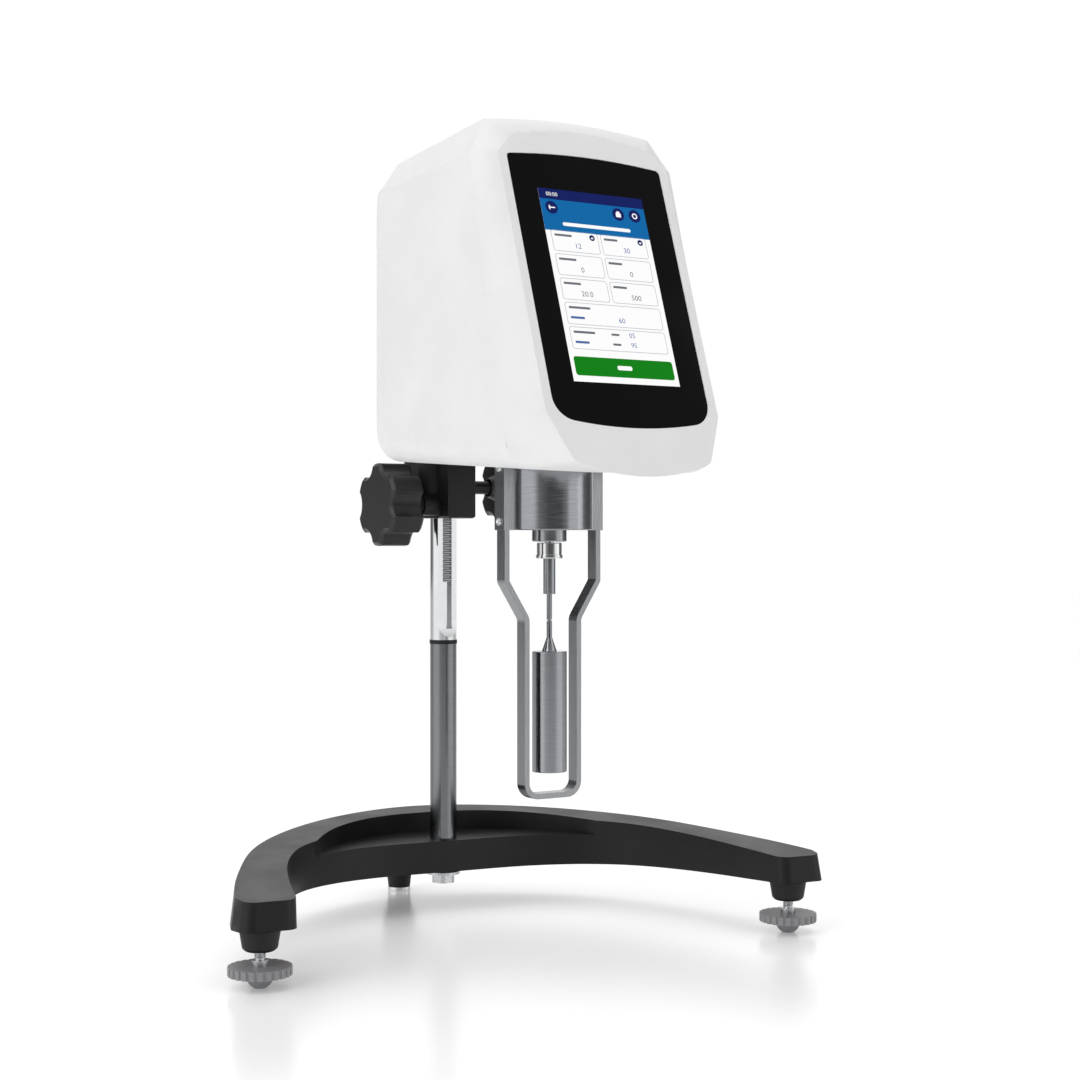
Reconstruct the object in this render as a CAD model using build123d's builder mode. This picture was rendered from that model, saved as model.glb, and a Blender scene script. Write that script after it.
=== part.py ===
"""Rotational viscometer: a measuring head on a rack-and-pinion column over a three-footed base.

Frame: +Z up, -Y towards the operator, origin on the floor in the middle of the machine's
length and width. Sizes are in millimetres.
"""
import os
from math import atan2, cos, degrees, hypot, pi, radians, sin, tan

from build123d import *

os.makedirs("parts", exist_ok=True)

# ---------------------------------------------------------------- driving dimensions
# Stand: foot places are measured from the column, in the base's own frame
base_turn = -6.4           # the base is bolted on turned by this much about the column
column_back = 120.0        # column axis behind the spindle axis
front_foot_x = 153.6
front_foot_y = -137.7
rear_foot_y = 74.0

# Casting
floor_top = 43.4           # floor of the tray, where the column stands
cast_bottom = 24.0         # underside at the column
cast_fall = 1.5            # the underside is this much lower at the back edge
tip_bottom = 30.0          # underside at the front feet
rim_top = 56.0             # rim at the back
tip_top = 46.0             # rim at the front feet
cast_edge = 1.5
draft_out = 4.0            # the outer wall flares by this much towards the floor
lug_r = 10.0               # lug over the rear foot
lug_top = 44.0
lug_drop = 10.0            # the web to the lug starts this far above the lug's foot
pad_z = 29.0               # flat pads that the front caps seat on
rear_pad_z = 14.0

# Feet
wheel_r = 16.0
wheel_thick = 4.5
wheel_notches = 24
notch_r = 0.9
dome_r = 7.0
sole_r = 3.0               # flat that the dome stands on
stud_r = 2.5
stud_collar_r = 4.2
stud_collar_h = 3.0
stud_length = 24.0
stud_point = 0.5           # chamfer on its end
stud_nut_r = 4.5
stud_room = 0.5            # room round the stud inside the casting
stud_hole = 12.0
cap_top_r = 10.4
cap_bottom_r = 8.6
cap_bottom = 18.2
cap_plate = 2.0            # steel nut plate inside the cap that takes the stud
rear_cap_top_r = 8.2
rear_cap_bottom_r = 6.8
rear_ring_h = 2.4
rear_ring_proud = 0.4

# Column
column_r = 7.9375
column_top = 395.0
column_edge = 1.0
ring_bottom = 159.3
ring_h = 2.4
ring_proud = 0.25
ring_deep = 0.6
flat_depth = 3.1           # how deep the milled flat goes below the column's surface
flat_start = 163.4
runout_h = 10.0
groove_start = 5.0         # the groove starts this far above the foot of the flat
groove_half = 2.9
groove_floor = 2.0         # groove's floor in front of the column's axis
rack_bottom = 196.0
rack_pitch = 2.66
rack_line = 4.6            # rack's pitch line in front of the column's axis
rack_tip = 0.58            # tooth height over the pitch line
rack_root = 0.85
rack_end_gap = 2.0         # plain end of the column above the rack
bolt_flats = 13.0
bolt_head_h = 5.0
bolt_corner = 0.4          # its corners are turned off this far outside the flats
bolt_shank_r = 4.0
bolt_length = 34.0
washer_r = 10.0
washer_h = 1.6

# Clamp: its heights are measured from the bar of the head
clamp_down = 52.0          # clamp's bottom under the bar's axis
clamp_up = 16.0            # clamp's top over the bar's axis
nose_half = 9.2
nose_front = 22.6          # nose face in front of the column's axis
barrel_half = 20.5
barrel_front = 11.0
barrel_back = 21.0
barrel_corner = 13.0
clamp_edge = 0.8
end_wall = 1.5             # metal left past the blind end of the pinion shaft
pinion_teeth = 12
pinion_width = 5.4
pinion_down = 44.5         # pinion's axis under the bar's axis
pinion_shaft_r = 3.9
pinion_shaft_deep = 1.0    # depth of the pinion's gaps under the pitch circle
pinion_tip = 0.75         # pinion tooth height over the pitch circle
mesh_play = 0.2            # play between the teeth, along the pitch line
pocket_room = 0.6          # room round the pinion's teeth
bush_gap = 0.4             # the bush stops this far outside the column
pressure_angle = 20.0
lock_down = 34.0           # lock screw's axis under the bar's axis
lock_y = 16.5              # lock screw in front of the column's axis
lock_screw_r = 3.9
plug_r = 3.0
lock_tip = 5.0             # the lock screw ends this far past the middle
body_gap = 0.3             # gap between pieces that move against each other
tension_down = 24.0        # tension screw's axis under the bar's axis
tension_r = 3.0
pad_gap = 0.1
pad_thick = 3.0
screw_sunk = 1.0
tension_slot = 1.2
knob_r = 24.0
knob_depth = 21.0
knob_flute_r = 9.0
knob_flutes = 6
knob_flute_deep = 4.5
knob_edge = 2.0
knob_bore = 12.0          # the shaft goes this far into the knob
knob_hub_lip = 1.5
knob_out = 50.0            # outer face of each knob from the middle plane
knob_hub_r = 9.0
knob_hub_l = 8.0

# Mounting bar of the head
bar_r = 6.35
bar_up = 6.0               # bar's axis over the chassis plate
bar_room = 1.0             # room round the bar where it leaves the rear cover
bar_gap = 1.2              # the bar stops this far short of the column
bar_bolt_r = 3.0
bar_bolt_deep = 16.0
bar_head_r = 5.0
bar_head_h = 6.0
bar_socket = 5.0
bar_socket_deep = 3.0

# Head shell, from the spindle axis
head_half = 62.0
wall = 3.0
face_wall = 4.5            # the bezel is thicker behind the display
lean_front = 19.0          # lean of the display face
lean_part = 13.7           # lean of the parting line
front_y, front_z = -78.2, 294.0
part_y, part_z = -31.0, 379.6
mid_y, mid_z = -67.0, 294.0
lean_mid = 16.5
rear_y = 92.0
rear_bulge_r = 277.0
rear_plan_r = 10.0
bulge_z = 345.0
bottom_z = 260.6           # underside at the spindle axis
bottom_rise = 3.6          # the underside rises towards the back, in degrees
top_z = 442.6
top_fall = 3.66
shoulder_fall = 1.9
shoulder_in = 10.0
shoulder_rise = 20.5
crown = 3.5
belly = 1.4
corner_bottom = 13.0

# Display face
face_in = 9.4              # the display face is this much narrower than the head, each side
face_low, face_high = -43.8, 149.0
face_belly = 7.8
face_crown = 6.0
face_corner_low = 7.0
mid_in = 3.4               # and the middle of the bezel by this much
mid_low, mid_high = -37.6, 149.0
mid_belly, mid_crown = 3.0, 4.2
mid_shoulder, mid_shoulder_drop = 11.0, 17.0
mid_corner = 6.0
foot_rise = 26.0           # the sides draw in below this height over the bottom corners
face_foot, mid_foot, part_foot = 11.0, 12.0, 1.0  # by so much, on each side
face_shoulder = 10.0
glass_in = 5.0             # glass inside the display face, each side
glass_low, glass_high = -17.8, 135.6
glass_belly = 5.0
glass_crown = 3.0
glass_corner_low = 13.0
glass_corner_high = 2.5
glass_thick = 2.0
glass_sunk = 0.5
window_x, window_y = 79.0, 127.0
screen_middle = 60.5
module_x, module_y, module_thick = 76.0, 121.0, 5.0
gasket_wide, gasket_thick = 1.4, 1.0

# Chassis and drive
plate_up = 15.4            # chassis plate over the head's underside
plate_thick = 4.0
plate_half = 46.0
plate_front, plate_back = -52.0, 68.0
flange_half = 30.0
flange_thick = 4.0
flange_up = 34.0           # top of the flange over the plate's underside
post_r = 4.5
post_x, post_y = 38.0, 40.0
cover_screw_r = 1.5
cover_head_r = 2.9
cover_head_h = 2.4
cover_head_up = 5.4        # screw heads bear this far over the head's underside
gear_module = 1.0
drive_teeth = 48
motor_teeth = 16
gear_tip, gear_root = 0.9, 1.15
gear_h = 4.0
gear_room = 3.0            # room over and under the gears
gear_plate_half = 34.0
gear_plate_front, gear_plate_back = -28.0, 58.0
gear_post_r = 3.5
gear_post_in = 6.0         # posts stand this far in from the gear plate's edges
motor_half = 21.0
motor_h = 34.0
motor_corner = 4.0
motor_boss_r = 11.0
motor_shaft_r = 2.5
drive_shaft_r = 5.0
drive_bearing_r = 8.0
drive_bore_r = 3.4         # the pivot shaft runs free inside the drive shaft
drive_shaft_top = 3.0      # drive shaft's upper end over the gear plate
carrier_r = 17.0
carrier_thick = 2.0
carrier_gap = 6.0          # carrier's underside below the chassis plate's
spring_h = 3.0
spring_gap = 3.0           # from the carrier's underside to the spring
spring_strip = 0.4
spring_inner, spring_outer = 4.8, 14.5
spring_turns = 4
collet_r = 4.6
peg_r = 1.4
disc_r = 9.5
disc_thick = 0.8
disc_gap = 4.0             # from one disc to the other
sensor_half = 6.0
sensor_front, sensor_back = -16.0, -5.0
sensor_over = 3.0          # sensor's top over the upper disc
disc_room = 0.5
board_half, board_front, board_back = 45.0, -30.0, 40.0
board_thick = 1.6
board_z = 336.0
board_post_r = 3.0
board_post_in = 4.0

# Pivot cup, guard and measuring system, about the spindle axis
cup_r = 23.9
cup_wall = 2.2
cup_room = 1.0             # room round the cup and brackets in the cover
cup_bottom = 226.3
cup_floor = 3.0
cup_edge = 0.4
cup_flange_r = 29.0
cup_flange_h = 2.5
boss_r = 9.5
boss_drop = 6.2
shaft_r = 2.4
bearing_r = 6.0
bearing_h = 5.0
cup_hole_room = 0.6        # room round the shaft in the boss
running = 0.05             # radial running clearance
bracket_out = 31.4         # outer face of the brackets from the spindle axis
bracket_half = 5.0
bracket_top = 266.0
screw_r = 1.2
screw_head_r = 2.2
screw_head_h = 1.3
screw_deep = 6.6
screw_z = (230.8, 259.4)
leg_thick = 3.0
leg_wide = 8.2
leg_upper = 30.4           # outer faces of the guard above and below its knees
leg_lower = 17.9
leg_top = 262.6
leg_knee_high, leg_knee_low = 198.3, 178.3
leg_bottom = 81.7
leg_corner = 8.8
leg_knee_r = 5.0
nut_gap = 0.5              # nut below the cup's boss
nut_r = 6.9
nut_h = 8.6
nut_lip_r = 7.35
nut_lip_h = 2.0
upper_r = 3.33
upper_h = 19.2
stem_r = 1.5
stem_h = 23.3
cone_r = 4.15
cone_h = 7.6
bob_r = 9.42
bob_h = 65.1
bob_edge = 0.3
immersion_z = 14.2         # groove on the stem, below the thick part
immersion_h = 0.8
immersion_deep = 0.4

# ---------------------------------------------------------------- sizes that follow
mid_half = head_half - mid_in
face_half = head_half - face_in
glass_half = face_half - glass_in
glass_back = glass_sunk + glass_thick
plate_z = bottom_z + plate_up
plate_top = plate_z + plate_thick
flange_top = plate_z + flange_up
cover_head_top = bottom_z + cover_head_up
bar_z = plate_top + bar_up
clamp_bottom, clamp_top = bar_z - clamp_down, bar_z + clamp_up
pinion_z, lock_z, tension_z = bar_z - pinion_down, bar_z - lock_down, bar_z - tension_down

# ---------------------------------------------------------------- the machine's frame
turn = radians(base_turn)


def on_base(x, y):
    """A point of the turned base, given from the column, in the column's own axes."""
    return x * cos(turn) - y * sin(turn), x * sin(turn) + y * cos(turn)


left_foot = on_base(-front_foot_x, front_foot_y)
right_foot = on_base(front_foot_x, front_foot_y)
rear_foot = on_base(0, rear_foot_y)
head_front = front_y + face_low * sin(radians(lean_front))
machine_back = column_back + rear_foot[1] + lug_r
column_x = -(left_foot[0] + right_foot[0]) / 2
spindle_y = -(head_front + machine_back) / 2
column_y = spindle_y + column_back

column_base = Plane((column_x, column_y, 0))
spindle_base = Plane((column_x, spindle_y, 0))
turned_base = Plane((column_x, column_y, 0), x_dir=(cos(turn), sin(turn), 0), z_dir=(0, 0, 1))
head_side = Plane((column_x, spindle_y, 0), x_dir=(0, 1, 0), z_dir=(1, 0, 0))
column_side = Plane((column_x, column_y, 0), x_dir=(0, 1, 0), z_dir=(1, 0, 0))
foot_planes = {
    "left": Plane((column_x + left_foot[0], column_y + left_foot[1], 0)),
    "right": Plane((column_x + right_foot[0], column_y + right_foot[1], 0)),
}
rear_plane = Plane((column_x + rear_foot[0], column_y + rear_foot[1], 0))


def finish(part, name):
    """Name a finished piece and write its file."""
    part.label = name
    export_step(part, f"parts/{name}.step")


# ---------------------------------------------------------------- base casting
# A crescent of black cast iron: a raised rim round the back, a tray open to the front,
# a short leg to the rear foot, and two legs that thin towards the front feet.
outer_curve = [(0, 50), (46, 38.5), (96, 3), (127, -37), (146, -79), (159, -115), (166, -141)]
inner_curve = [(0, -11.5), (42, -11.5), (72, -19), (98, -37), (116, -66), (129, -105), (137, -141)]
tray_curve = [(0, 29), (33, 24.5), (66, 3), (88, -28), (106, -62)]
tray_run = 30.0            # the tray runs on along the legs past its curve
tray_flare = 12.0          # and widens outwards by this
tray_land = 20.0           # its end on each leg is this wide
tip_front = 14.5           # the tip's front end before the foot
tip_inset = 2.5
tip_corner = 7.0
widest = outer_curve[-1][0]
depth = outer_curve[0][1] - outer_curve[-1][1]


def both_sides(points):
    """A half outline and its mirror image, from left to right."""
    return [(-x, y) for x, y in reversed(points[1:])] + points


def flared(point, flare):
    """A point of the outer outline, moved outwards by the flare of the wall."""
    x, y = point
    share = (y - outer_curve[-1][1]) / depth
    return x * (1 + flare / widest), y + flare * share


def crescent(height, flare):
    """Outline of the whole casting at one height."""
    outer_end = flared(outer_curve[-1], flare)
    inner_end = inner_curve[-1]
    front = front_foot_y - tip_front - flare
    with BuildSketch(turned_base.offset(height)) as outline:
        with BuildLine():
            Spline(*both_sides([flared(point, flare) for point in outer_curve]))
            Spline(*both_sides(inner_curve))
            for side in (-1, 1):
                Polyline((side * outer_end[0], outer_end[1]),
                         (side * (outer_end[0] - tip_inset), front),
                         (side * (inner_end[0] + tip_inset), front),
                         (side * inner_end[0], inner_end[1]))
        make_face()
        fillet(outline.vertices().group_by(Axis.Y)[0], tip_corner)
    return outline.sketch


def sloped_cut(level_back, level_front, up):
    """Side view of what lies past a casting face that falls or rises to the front feet."""
    far = 2 * widest
    end = far if up else -far
    slope = (level_front - level_back) / (front_foot_y - outer_curve[0][1])
    with BuildSketch(Plane(turned_base.origin, x_dir=turned_base.y_dir, z_dir=turned_base.x_dir)) as side:
        Polygon((-far, level_front + slope * (-far - front_foot_y)),
                (far, level_front + slope * (far - front_foot_y)),
                (far, end), (-far, end), align=None)
    return side.sketch


with BuildPart() as base_casting:
    add(crescent(cast_bottom, draft_out))
    add(crescent(rim_top, 0))
    loft()
    extrude(sloped_cut(rim_top, tip_top, True), amount=2 * widest, both=True, mode=Mode.SUBTRACT)
    extrude(sloped_cut(cast_bottom - cast_fall, tip_bottom, False), amount=2 * widest, both=True,
            mode=Mode.SUBTRACT)
    with BuildSketch(turned_base.offset(floor_top)):
        with BuildLine():
            back_edge = Spline(*both_sides(tray_curve))
            end_x, end_y = tray_curve[-1]
            tray_end = end_y - tray_run
            wide = end_x + tray_flare
            Polyline(back_edge @ 0, (-wide, tray_end), (-wide + tray_land, tray_end),
                     (0, end_y), (wide - tray_land, tray_end), (wide, tray_end), back_edge @ 1)
        make_face()
    extrude(amount=rim_top, mode=Mode.SUBTRACT)
    with BuildSketch(*[plane.offset(pad_z) for plane in foot_planes.values()]):
        Circle(cap_top_r)
    extrude(amount=tip_bottom - pad_z + cast_edge)
    with BuildSketch(rear_plane.offset(rear_pad_z)):
        Circle(lug_r)
    extrude(amount=lug_top - rear_pad_z)
    with BuildSketch(turned_base.offset(rear_pad_z + lug_drop)):
        with Locations((0, (rear_foot_y + outer_curve[0][1]) / 2)):
            Rectangle(2 * lug_r, rear_foot_y - outer_curve[0][1] + draft_out)
    extrude(amount=lug_top - rear_pad_z - lug_drop)
    with BuildSketch(*[plane.offset(pad_z) for plane in foot_planes.values()]):
        Circle(stud_r + stud_room)
    extrude(amount=stud_hole, mode=Mode.SUBTRACT)
    with BuildSketch(column_base):
        Circle(bolt_shank_r + running)
    extrude(amount=floor_top, mode=Mode.SUBTRACT)
finish(base_casting.part, "base_casting")

# ---------------------------------------------------------------- feet
# Tapered rubber caps over the casting's pads; the front ones hold the nut plate of a
# levelling screw, which carries a notched wheel with a domed foot.
for side, plane in foot_planes.items():
    with BuildPart() as leg_cap:
        with BuildSketch(plane.offset(cap_bottom)):
            Circle(cap_bottom_r)
        with BuildSketch(plane.offset(pad_z)):
            Circle(cap_top_r)
        loft()
        chamfer(leg_cap.edges().group_by(Axis.Z)[0], cast_edge)
        with Locations(plane.offset(pad_z)):
            CounterBoreHole(stud_r + running, stud_nut_r, cap_plate)
    finish(leg_cap.part, f"{side}_leg_cap")

    with BuildPart() as leg_nut:
        with BuildSketch(plane.offset(pad_z - cap_plate)):
            RegularPolygon(stud_nut_r, 6, major_radius=False)
            Circle(stud_r + running, mode=Mode.SUBTRACT)
        extrude(amount=cap_plate)
        with BuildSketch(plane.offset(pad_z - cap_plate)):
            Circle(stud_nut_r)
        extrude(amount=cap_plate, mode=Mode.INTERSECT)
    finish(leg_nut.part, f"{side}_leg_nut")

    wheel_bottom = (dome_r ** 2 - sole_r ** 2) ** 0.5
    wheel_top = wheel_bottom + wheel_thick
    with BuildPart() as foot_wheel:
        with BuildSketch(plane.offset(wheel_bottom)):
            Circle(wheel_r)
            with PolarLocations(wheel_r, wheel_notches):
                Circle(notch_r, mode=Mode.SUBTRACT)
        extrude(amount=wheel_thick)
        with Locations(plane.offset(wheel_bottom)):
            Sphere(dome_r, arc_size1=-90, arc_size2=0, align=(Align.CENTER, Align.CENTER, Align.MAX))
        split(bisect_by=plane, keep=Keep.TOP)
    finish(foot_wheel.part, f"{side}_foot_wheel")

    with BuildPart() as foot_stud:
        with BuildSketch(plane.offset(wheel_top)):
            Circle(stud_collar_r)
        extrude(amount=stud_collar_h)
        with BuildSketch(plane.offset(wheel_top)):
            Circle(stud_r)
        extrude(amount=stud_length)
        chamfer(foot_stud.edges().group_by(Axis.Z)[-1], stud_point)
    finish(foot_stud.part, f"{side}_foot_stud")

with BuildPart() as rear_cap:
    with BuildSketch(rear_plane.offset(rear_ring_h)):
        Circle(rear_cap_bottom_r)
    with BuildSketch(rear_plane.offset(rear_pad_z)):
        Circle(rear_cap_top_r)
    loft()
finish(rear_cap.part, "rear_foot_cap")

with BuildPart() as rear_ring:
    with BuildSketch(rear_plane):
        Circle(rear_cap_bottom_r + rear_ring_proud)
    extrude(amount=rear_ring_h)
    chamfer(rear_ring.edges().group_by(Axis.Z)[0], rear_ring_proud)
finish(rear_ring.part, "rear_foot_ring")

# ---------------------------------------------------------------- column
# A ground steel rod, tapped below for its bolt. Above the black ring its front is milled
# flat, and a steel rack lies in a groove in the flat.
flat_y = -(column_r - flat_depth)
with BuildPart() as column:
    with BuildSketch(column_base.offset(floor_top)):
        Circle(column_r)
    extrude(amount=column_top - floor_top)
    chamfer(column.edges().group_by(Axis.Z)[-1], column_edge)
    with BuildSketch(column_side):
        with BuildLine():
            Polyline((flat_y, flat_start + runout_h), (flat_y, column_top), (-2 * column_r, column_top),
                     (-2 * column_r, flat_start), (-column_r, flat_start))
            TangentArc((flat_y, flat_start + runout_h), (-column_r, flat_start), tangent=(0, -1))
        make_face()
    extrude(amount=column_r, both=True, mode=Mode.SUBTRACT)
    with BuildSketch(Plane(column_base.offset(flat_start + groove_start).origin)):
        with Locations((0, -groove_floor - column_r / 2)):
            Rectangle(2 * groove_half, column_r)
    extrude(amount=column_top, mode=Mode.SUBTRACT)
    with BuildSketch(column_base.offset(ring_bottom)):
        Circle(2 * column_r)
        Circle(column_r - ring_deep, mode=Mode.SUBTRACT)
    extrude(amount=ring_h, mode=Mode.SUBTRACT)
    with BuildSketch(column_base.offset(floor_top)):
        Circle(bolt_shank_r + running)
    extrude(amount=bolt_length, mode=Mode.SUBTRACT)
finish(column.part, "column")

with BuildPart() as column_ring:
    with BuildSketch(column_base.offset(ring_bottom)):
        Circle(column_r + ring_proud)
        Circle(column_r - ring_deep, mode=Mode.SUBTRACT)
    extrude(amount=ring_h)
finish(column_ring.part, "column_ring")

# Rack: straight-sided teeth whose gaps are centred on the pinion
flank = tan(radians(pressure_angle))
tooth_half = rack_pitch / 4 - mesh_play / 4
tip_half = tooth_half - rack_tip * flank
root_half = tooth_half + rack_root * flank
rack_top = column_top - rack_end_gap
teeth_below = int((pinion_z - rack_bottom) / rack_pitch - 0.5)
teeth_above = int((rack_top - pinion_z) / rack_pitch - 0.5)
rack_outline = [(-groove_floor, rack_bottom)]
for tooth in range(-teeth_below, teeth_above + 1):
    middle = pinion_z + (tooth - 0.5) * rack_pitch
    rack_outline += [(-rack_line + rack_root, middle - root_half), (-rack_line - rack_tip, middle - tip_half),
                     (-rack_line - rack_tip, middle + tip_half), (-rack_line + rack_root, middle + root_half)]
rack_outline.insert(1, (-rack_line + rack_root, rack_bottom))
rack_outline += [(-rack_line + rack_root, rack_top), (-groove_floor, rack_top)]
with BuildPart() as column_rack:
    with BuildSketch(column_side):
        Polygon(*rack_outline, align=None)
    extrude(amount=groove_half, both=True)
finish(column_rack.part, "column_rack")

with BuildPart() as column_washer:
    with BuildSketch(column_base.offset(cast_bottom - washer_h)):
        Circle(washer_r)
        Circle(bolt_shank_r + running, mode=Mode.SUBTRACT)
    extrude(amount=washer_h)
finish(column_washer.part, "column_washer")

with BuildPart() as column_bolt:
    with BuildSketch(column_base.offset(cast_bottom - washer_h)):
        RegularPolygon(bolt_flats / 2, 6, major_radius=False)
    extrude(amount=-bolt_head_h)
    with BuildSketch(column_base.offset(cast_bottom - washer_h)):
        Circle(bolt_shank_r)
    extrude(amount=bolt_length)
    with BuildSketch(column_base.offset(cast_bottom - washer_h - bolt_head_h)):
        Circle(bolt_flats / 2 + bolt_corner)
    extrude(amount=bolt_length + bolt_head_h, mode=Mode.INTERSECT)
finish(column_bolt.part, "column_bolt")

# ---------------------------------------------------------------- clamp
# A black cast clamp that slides on the column: a barrel round the column and a narrow nose
# that takes the head's mounting bar. A pinion in it runs on the rack.
pitch_r = pinion_teeth * rack_pitch / (2 * pi)
pinion_y = -rack_line - pitch_r
pinion_outer = pitch_r + pinion_tip
pocket_r = pinion_outer + pocket_room
pinion_plane = Plane((column_x, column_y + pinion_y, pinion_z), x_dir=(0, 1, 0), z_dir=(1, 0, 0))
lock_plane = Plane((column_x, column_y - lock_y, lock_z), x_dir=(0, 1, 0), z_dir=(1, 0, 0))
bar_plane = Plane((column_x, spindle_y, bar_z), x_dir=(1, 0, 0), z_dir=(0, 1, 0))
tension_plane = Plane((column_x, column_y, tension_z), x_dir=(1, 0, 0), z_dir=(0, 1, 0))
bar_end = column_back - column_r - bar_gap
pinion_right = nose_half - end_wall
bush_inner_end = -column_r - bush_gap

with BuildPart() as clamp_body:
    with BuildSketch(column_base.offset(clamp_bottom)):
        with Locations((0, (barrel_back - barrel_front) / 2)):
            RectangleRounded(2 * barrel_half, barrel_front + barrel_back, barrel_corner)
        with Locations((0, -nose_front / 2)):
            Rectangle(2 * nose_half, nose_front)
    extrude(amount=clamp_top - clamp_bottom)
    chamfer(clamp_body.edges().group_by(Axis.Z)[0] + clamp_body.edges().group_by(Axis.Z)[-1], clamp_edge)
    with BuildSketch(column_base.offset(clamp_bottom)):
        Circle(column_r + running)
    extrude(amount=clamp_top - clamp_bottom, mode=Mode.SUBTRACT)
    with BuildSketch(pinion_plane.offset(-barrel_half)):
        Circle(pocket_r)
    extrude(amount=barrel_half + pinion_width / 2 + mesh_play, mode=Mode.SUBTRACT)
    with BuildSketch(pinion_plane):
        Circle(pinion_shaft_r + running)
    extrude(amount=pinion_right, mode=Mode.SUBTRACT)
    with BuildSketch(lock_plane.offset(-lock_tip)):
        Circle(lock_screw_r + running)
    extrude(amount=nose_half + lock_tip, mode=Mode.SUBTRACT)
    with BuildSketch(Plane((column_x, column_y - lock_y, lock_z))):
        Circle(plug_r)
    extrude(amount=bar_z - lock_z, mode=Mode.SUBTRACT)
    with BuildSketch(bar_plane.offset(column_back - nose_front)):
        Circle(bar_r + running)
    extrude(amount=nose_front, mode=Mode.SUBTRACT)
    with BuildSketch(tension_plane):
        Circle(tension_r)
    extrude(amount=barrel_back, mode=Mode.SUBTRACT)
finish(clamp_body.part, "clamp_body")

with BuildPart() as pinion_bush:
    with BuildSketch(pinion_plane.offset(-barrel_half)):
        Circle(pocket_r)
        Circle(pinion_shaft_r + running, mode=Mode.SUBTRACT)
    extrude(amount=barrel_half + bush_inner_end)
finish(pinion_bush.part, "pinion_bush")

with BuildPart() as tension_pad:
    with BuildSketch(tension_plane.offset(column_r + pad_gap)):
        Circle(tension_r)
    extrude(amount=pad_thick)
finish(tension_pad.part, "tension_pad")

with BuildPart() as tension_screw:
    with BuildSketch(tension_plane.offset(column_r + pad_gap + pad_thick)):
        Circle(tension_r)
    extrude(amount=barrel_back - screw_sunk - column_r - pad_gap - pad_thick)
    with BuildSketch(tension_plane.offset(barrel_back - screw_sunk)):
        Rectangle(2 * tension_r, tension_slot)
    extrude(amount=-tension_slot, mode=Mode.SUBTRACT)
finish(tension_screw.part, "tension_screw")

with BuildPart() as lock_plug:
    with BuildSketch(Plane((column_x, column_y - lock_y, lock_z + lock_screw_r + body_gap))):
        Circle(plug_r)
    extrude(amount=bar_z - bar_r - lock_z - lock_screw_r - 2 * body_gap)
finish(lock_plug.part, "lock_plug")


def involute_gear(teeth, tooth_pitch, tip, root, steps=2):
    """Outline of a spur gear with its first tooth on the sketch's X axis."""
    pitch_radius = teeth * tooth_pitch / (2 * pi)
    base_radius = pitch_radius * cos(radians(pressure_angle))
    half_angle = (tooth_pitch / 4 - mesh_play / 4) / pitch_radius
    at_pitch = tan(radians(pressure_angle)) - radians(pressure_angle)
    flank_points = [(pitch_radius - root, half_angle + at_pitch)]
    for step in range(steps + 1):
        radius = base_radius + (pitch_radius + tip - base_radius) * step / steps
        roll = max(radius / base_radius, 1.0)
        roll = (roll ** 2 - 1) ** 0.5
        flank_points.append((radius, half_angle + at_pitch - (roll - atan2(roll, 1))))
    outline = []
    for tooth in range(teeth):
        middle = 2 * pi * tooth / teeth
        outline += [(r * cos(middle - a), r * sin(middle - a)) for r, a in flank_points]
        outline += [(r * cos(middle + a), r * sin(middle + a)) for r, a in reversed(flank_points)]
    return outline


with BuildPart() as pinion_shaft:
    with BuildSketch(pinion_plane.offset(-pinion_width / 2)):
        Polygon(*involute_gear(pinion_teeth, rack_pitch, pinion_tip, pinion_shaft_deep), align=None)
    extrude(amount=pinion_width)
    with BuildSketch(pinion_plane.offset(-knob_out + knob_depth - knob_bore)):
        Circle(pinion_shaft_r)
    extrude(amount=knob_out - knob_depth + knob_bore + pinion_right - body_gap)
finish(pinion_shaft.part, "pinion_shaft")

# Both knobs are moulded with six deep flutes and a tapered hub
for name, plane, side, shaft_size in (("height_knob", pinion_plane, -1, pinion_shaft_r),
                                      ("lock_knob", lock_plane, 1, lock_screw_r)):
    with BuildPart() as knob:
        with BuildSketch(plane.offset(side * (knob_out - knob_depth))):
            Circle(knob_r)
            with PolarLocations(knob_r + knob_flute_r - knob_flute_deep, knob_flutes):
                Circle(knob_flute_r, mode=Mode.SUBTRACT)
        extrude(amount=side * knob_depth)
        ends = knob.faces().filter_by(Axis.X).sort_by(Axis.X)
        chamfer(ends[0].edges() + ends[-1].edges(), knob_edge)
        with BuildSketch(plane.offset(side * (knob_out - knob_depth))):
            Circle(knob_hub_r)
        with BuildSketch(plane.offset(side * (knob_out - knob_depth - knob_hub_l))):
            Circle(shaft_size + knob_hub_lip)
        loft()
        with BuildSketch(plane.offset(side * (knob_out - knob_depth + knob_bore))):
            Circle(shaft_size)
        extrude(amount=-side * (knob_bore + knob_hub_l), mode=Mode.SUBTRACT)
    finish(knob.part, name)

with BuildPart() as lock_screw:
    with BuildSketch(lock_plane.offset(-lock_tip + body_gap)):
        Circle(lock_screw_r)
    extrude(amount=knob_out - knob_depth + knob_bore + lock_tip - body_gap)
finish(lock_screw.part, "lock_screw")

# ---------------------------------------------------------------- head shell
# Two white moulded halves: a rear cover, and a front bezel that narrows to the display face.
# Each section is drawn on its own leaning plane, and lofts join them.


def leaning(y, z, lean, back=0.0):
    """A plane across the head through (y, z), leaning back by an angle."""
    tilt = radians(lean)
    normal = Vector(0, -cos(tilt), sin(tilt))
    origin = Vector(column_x, spindle_y + y, z) - normal * back
    return Plane(origin, x_dir=(1, 0, 0), z_dir=normal)


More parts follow.
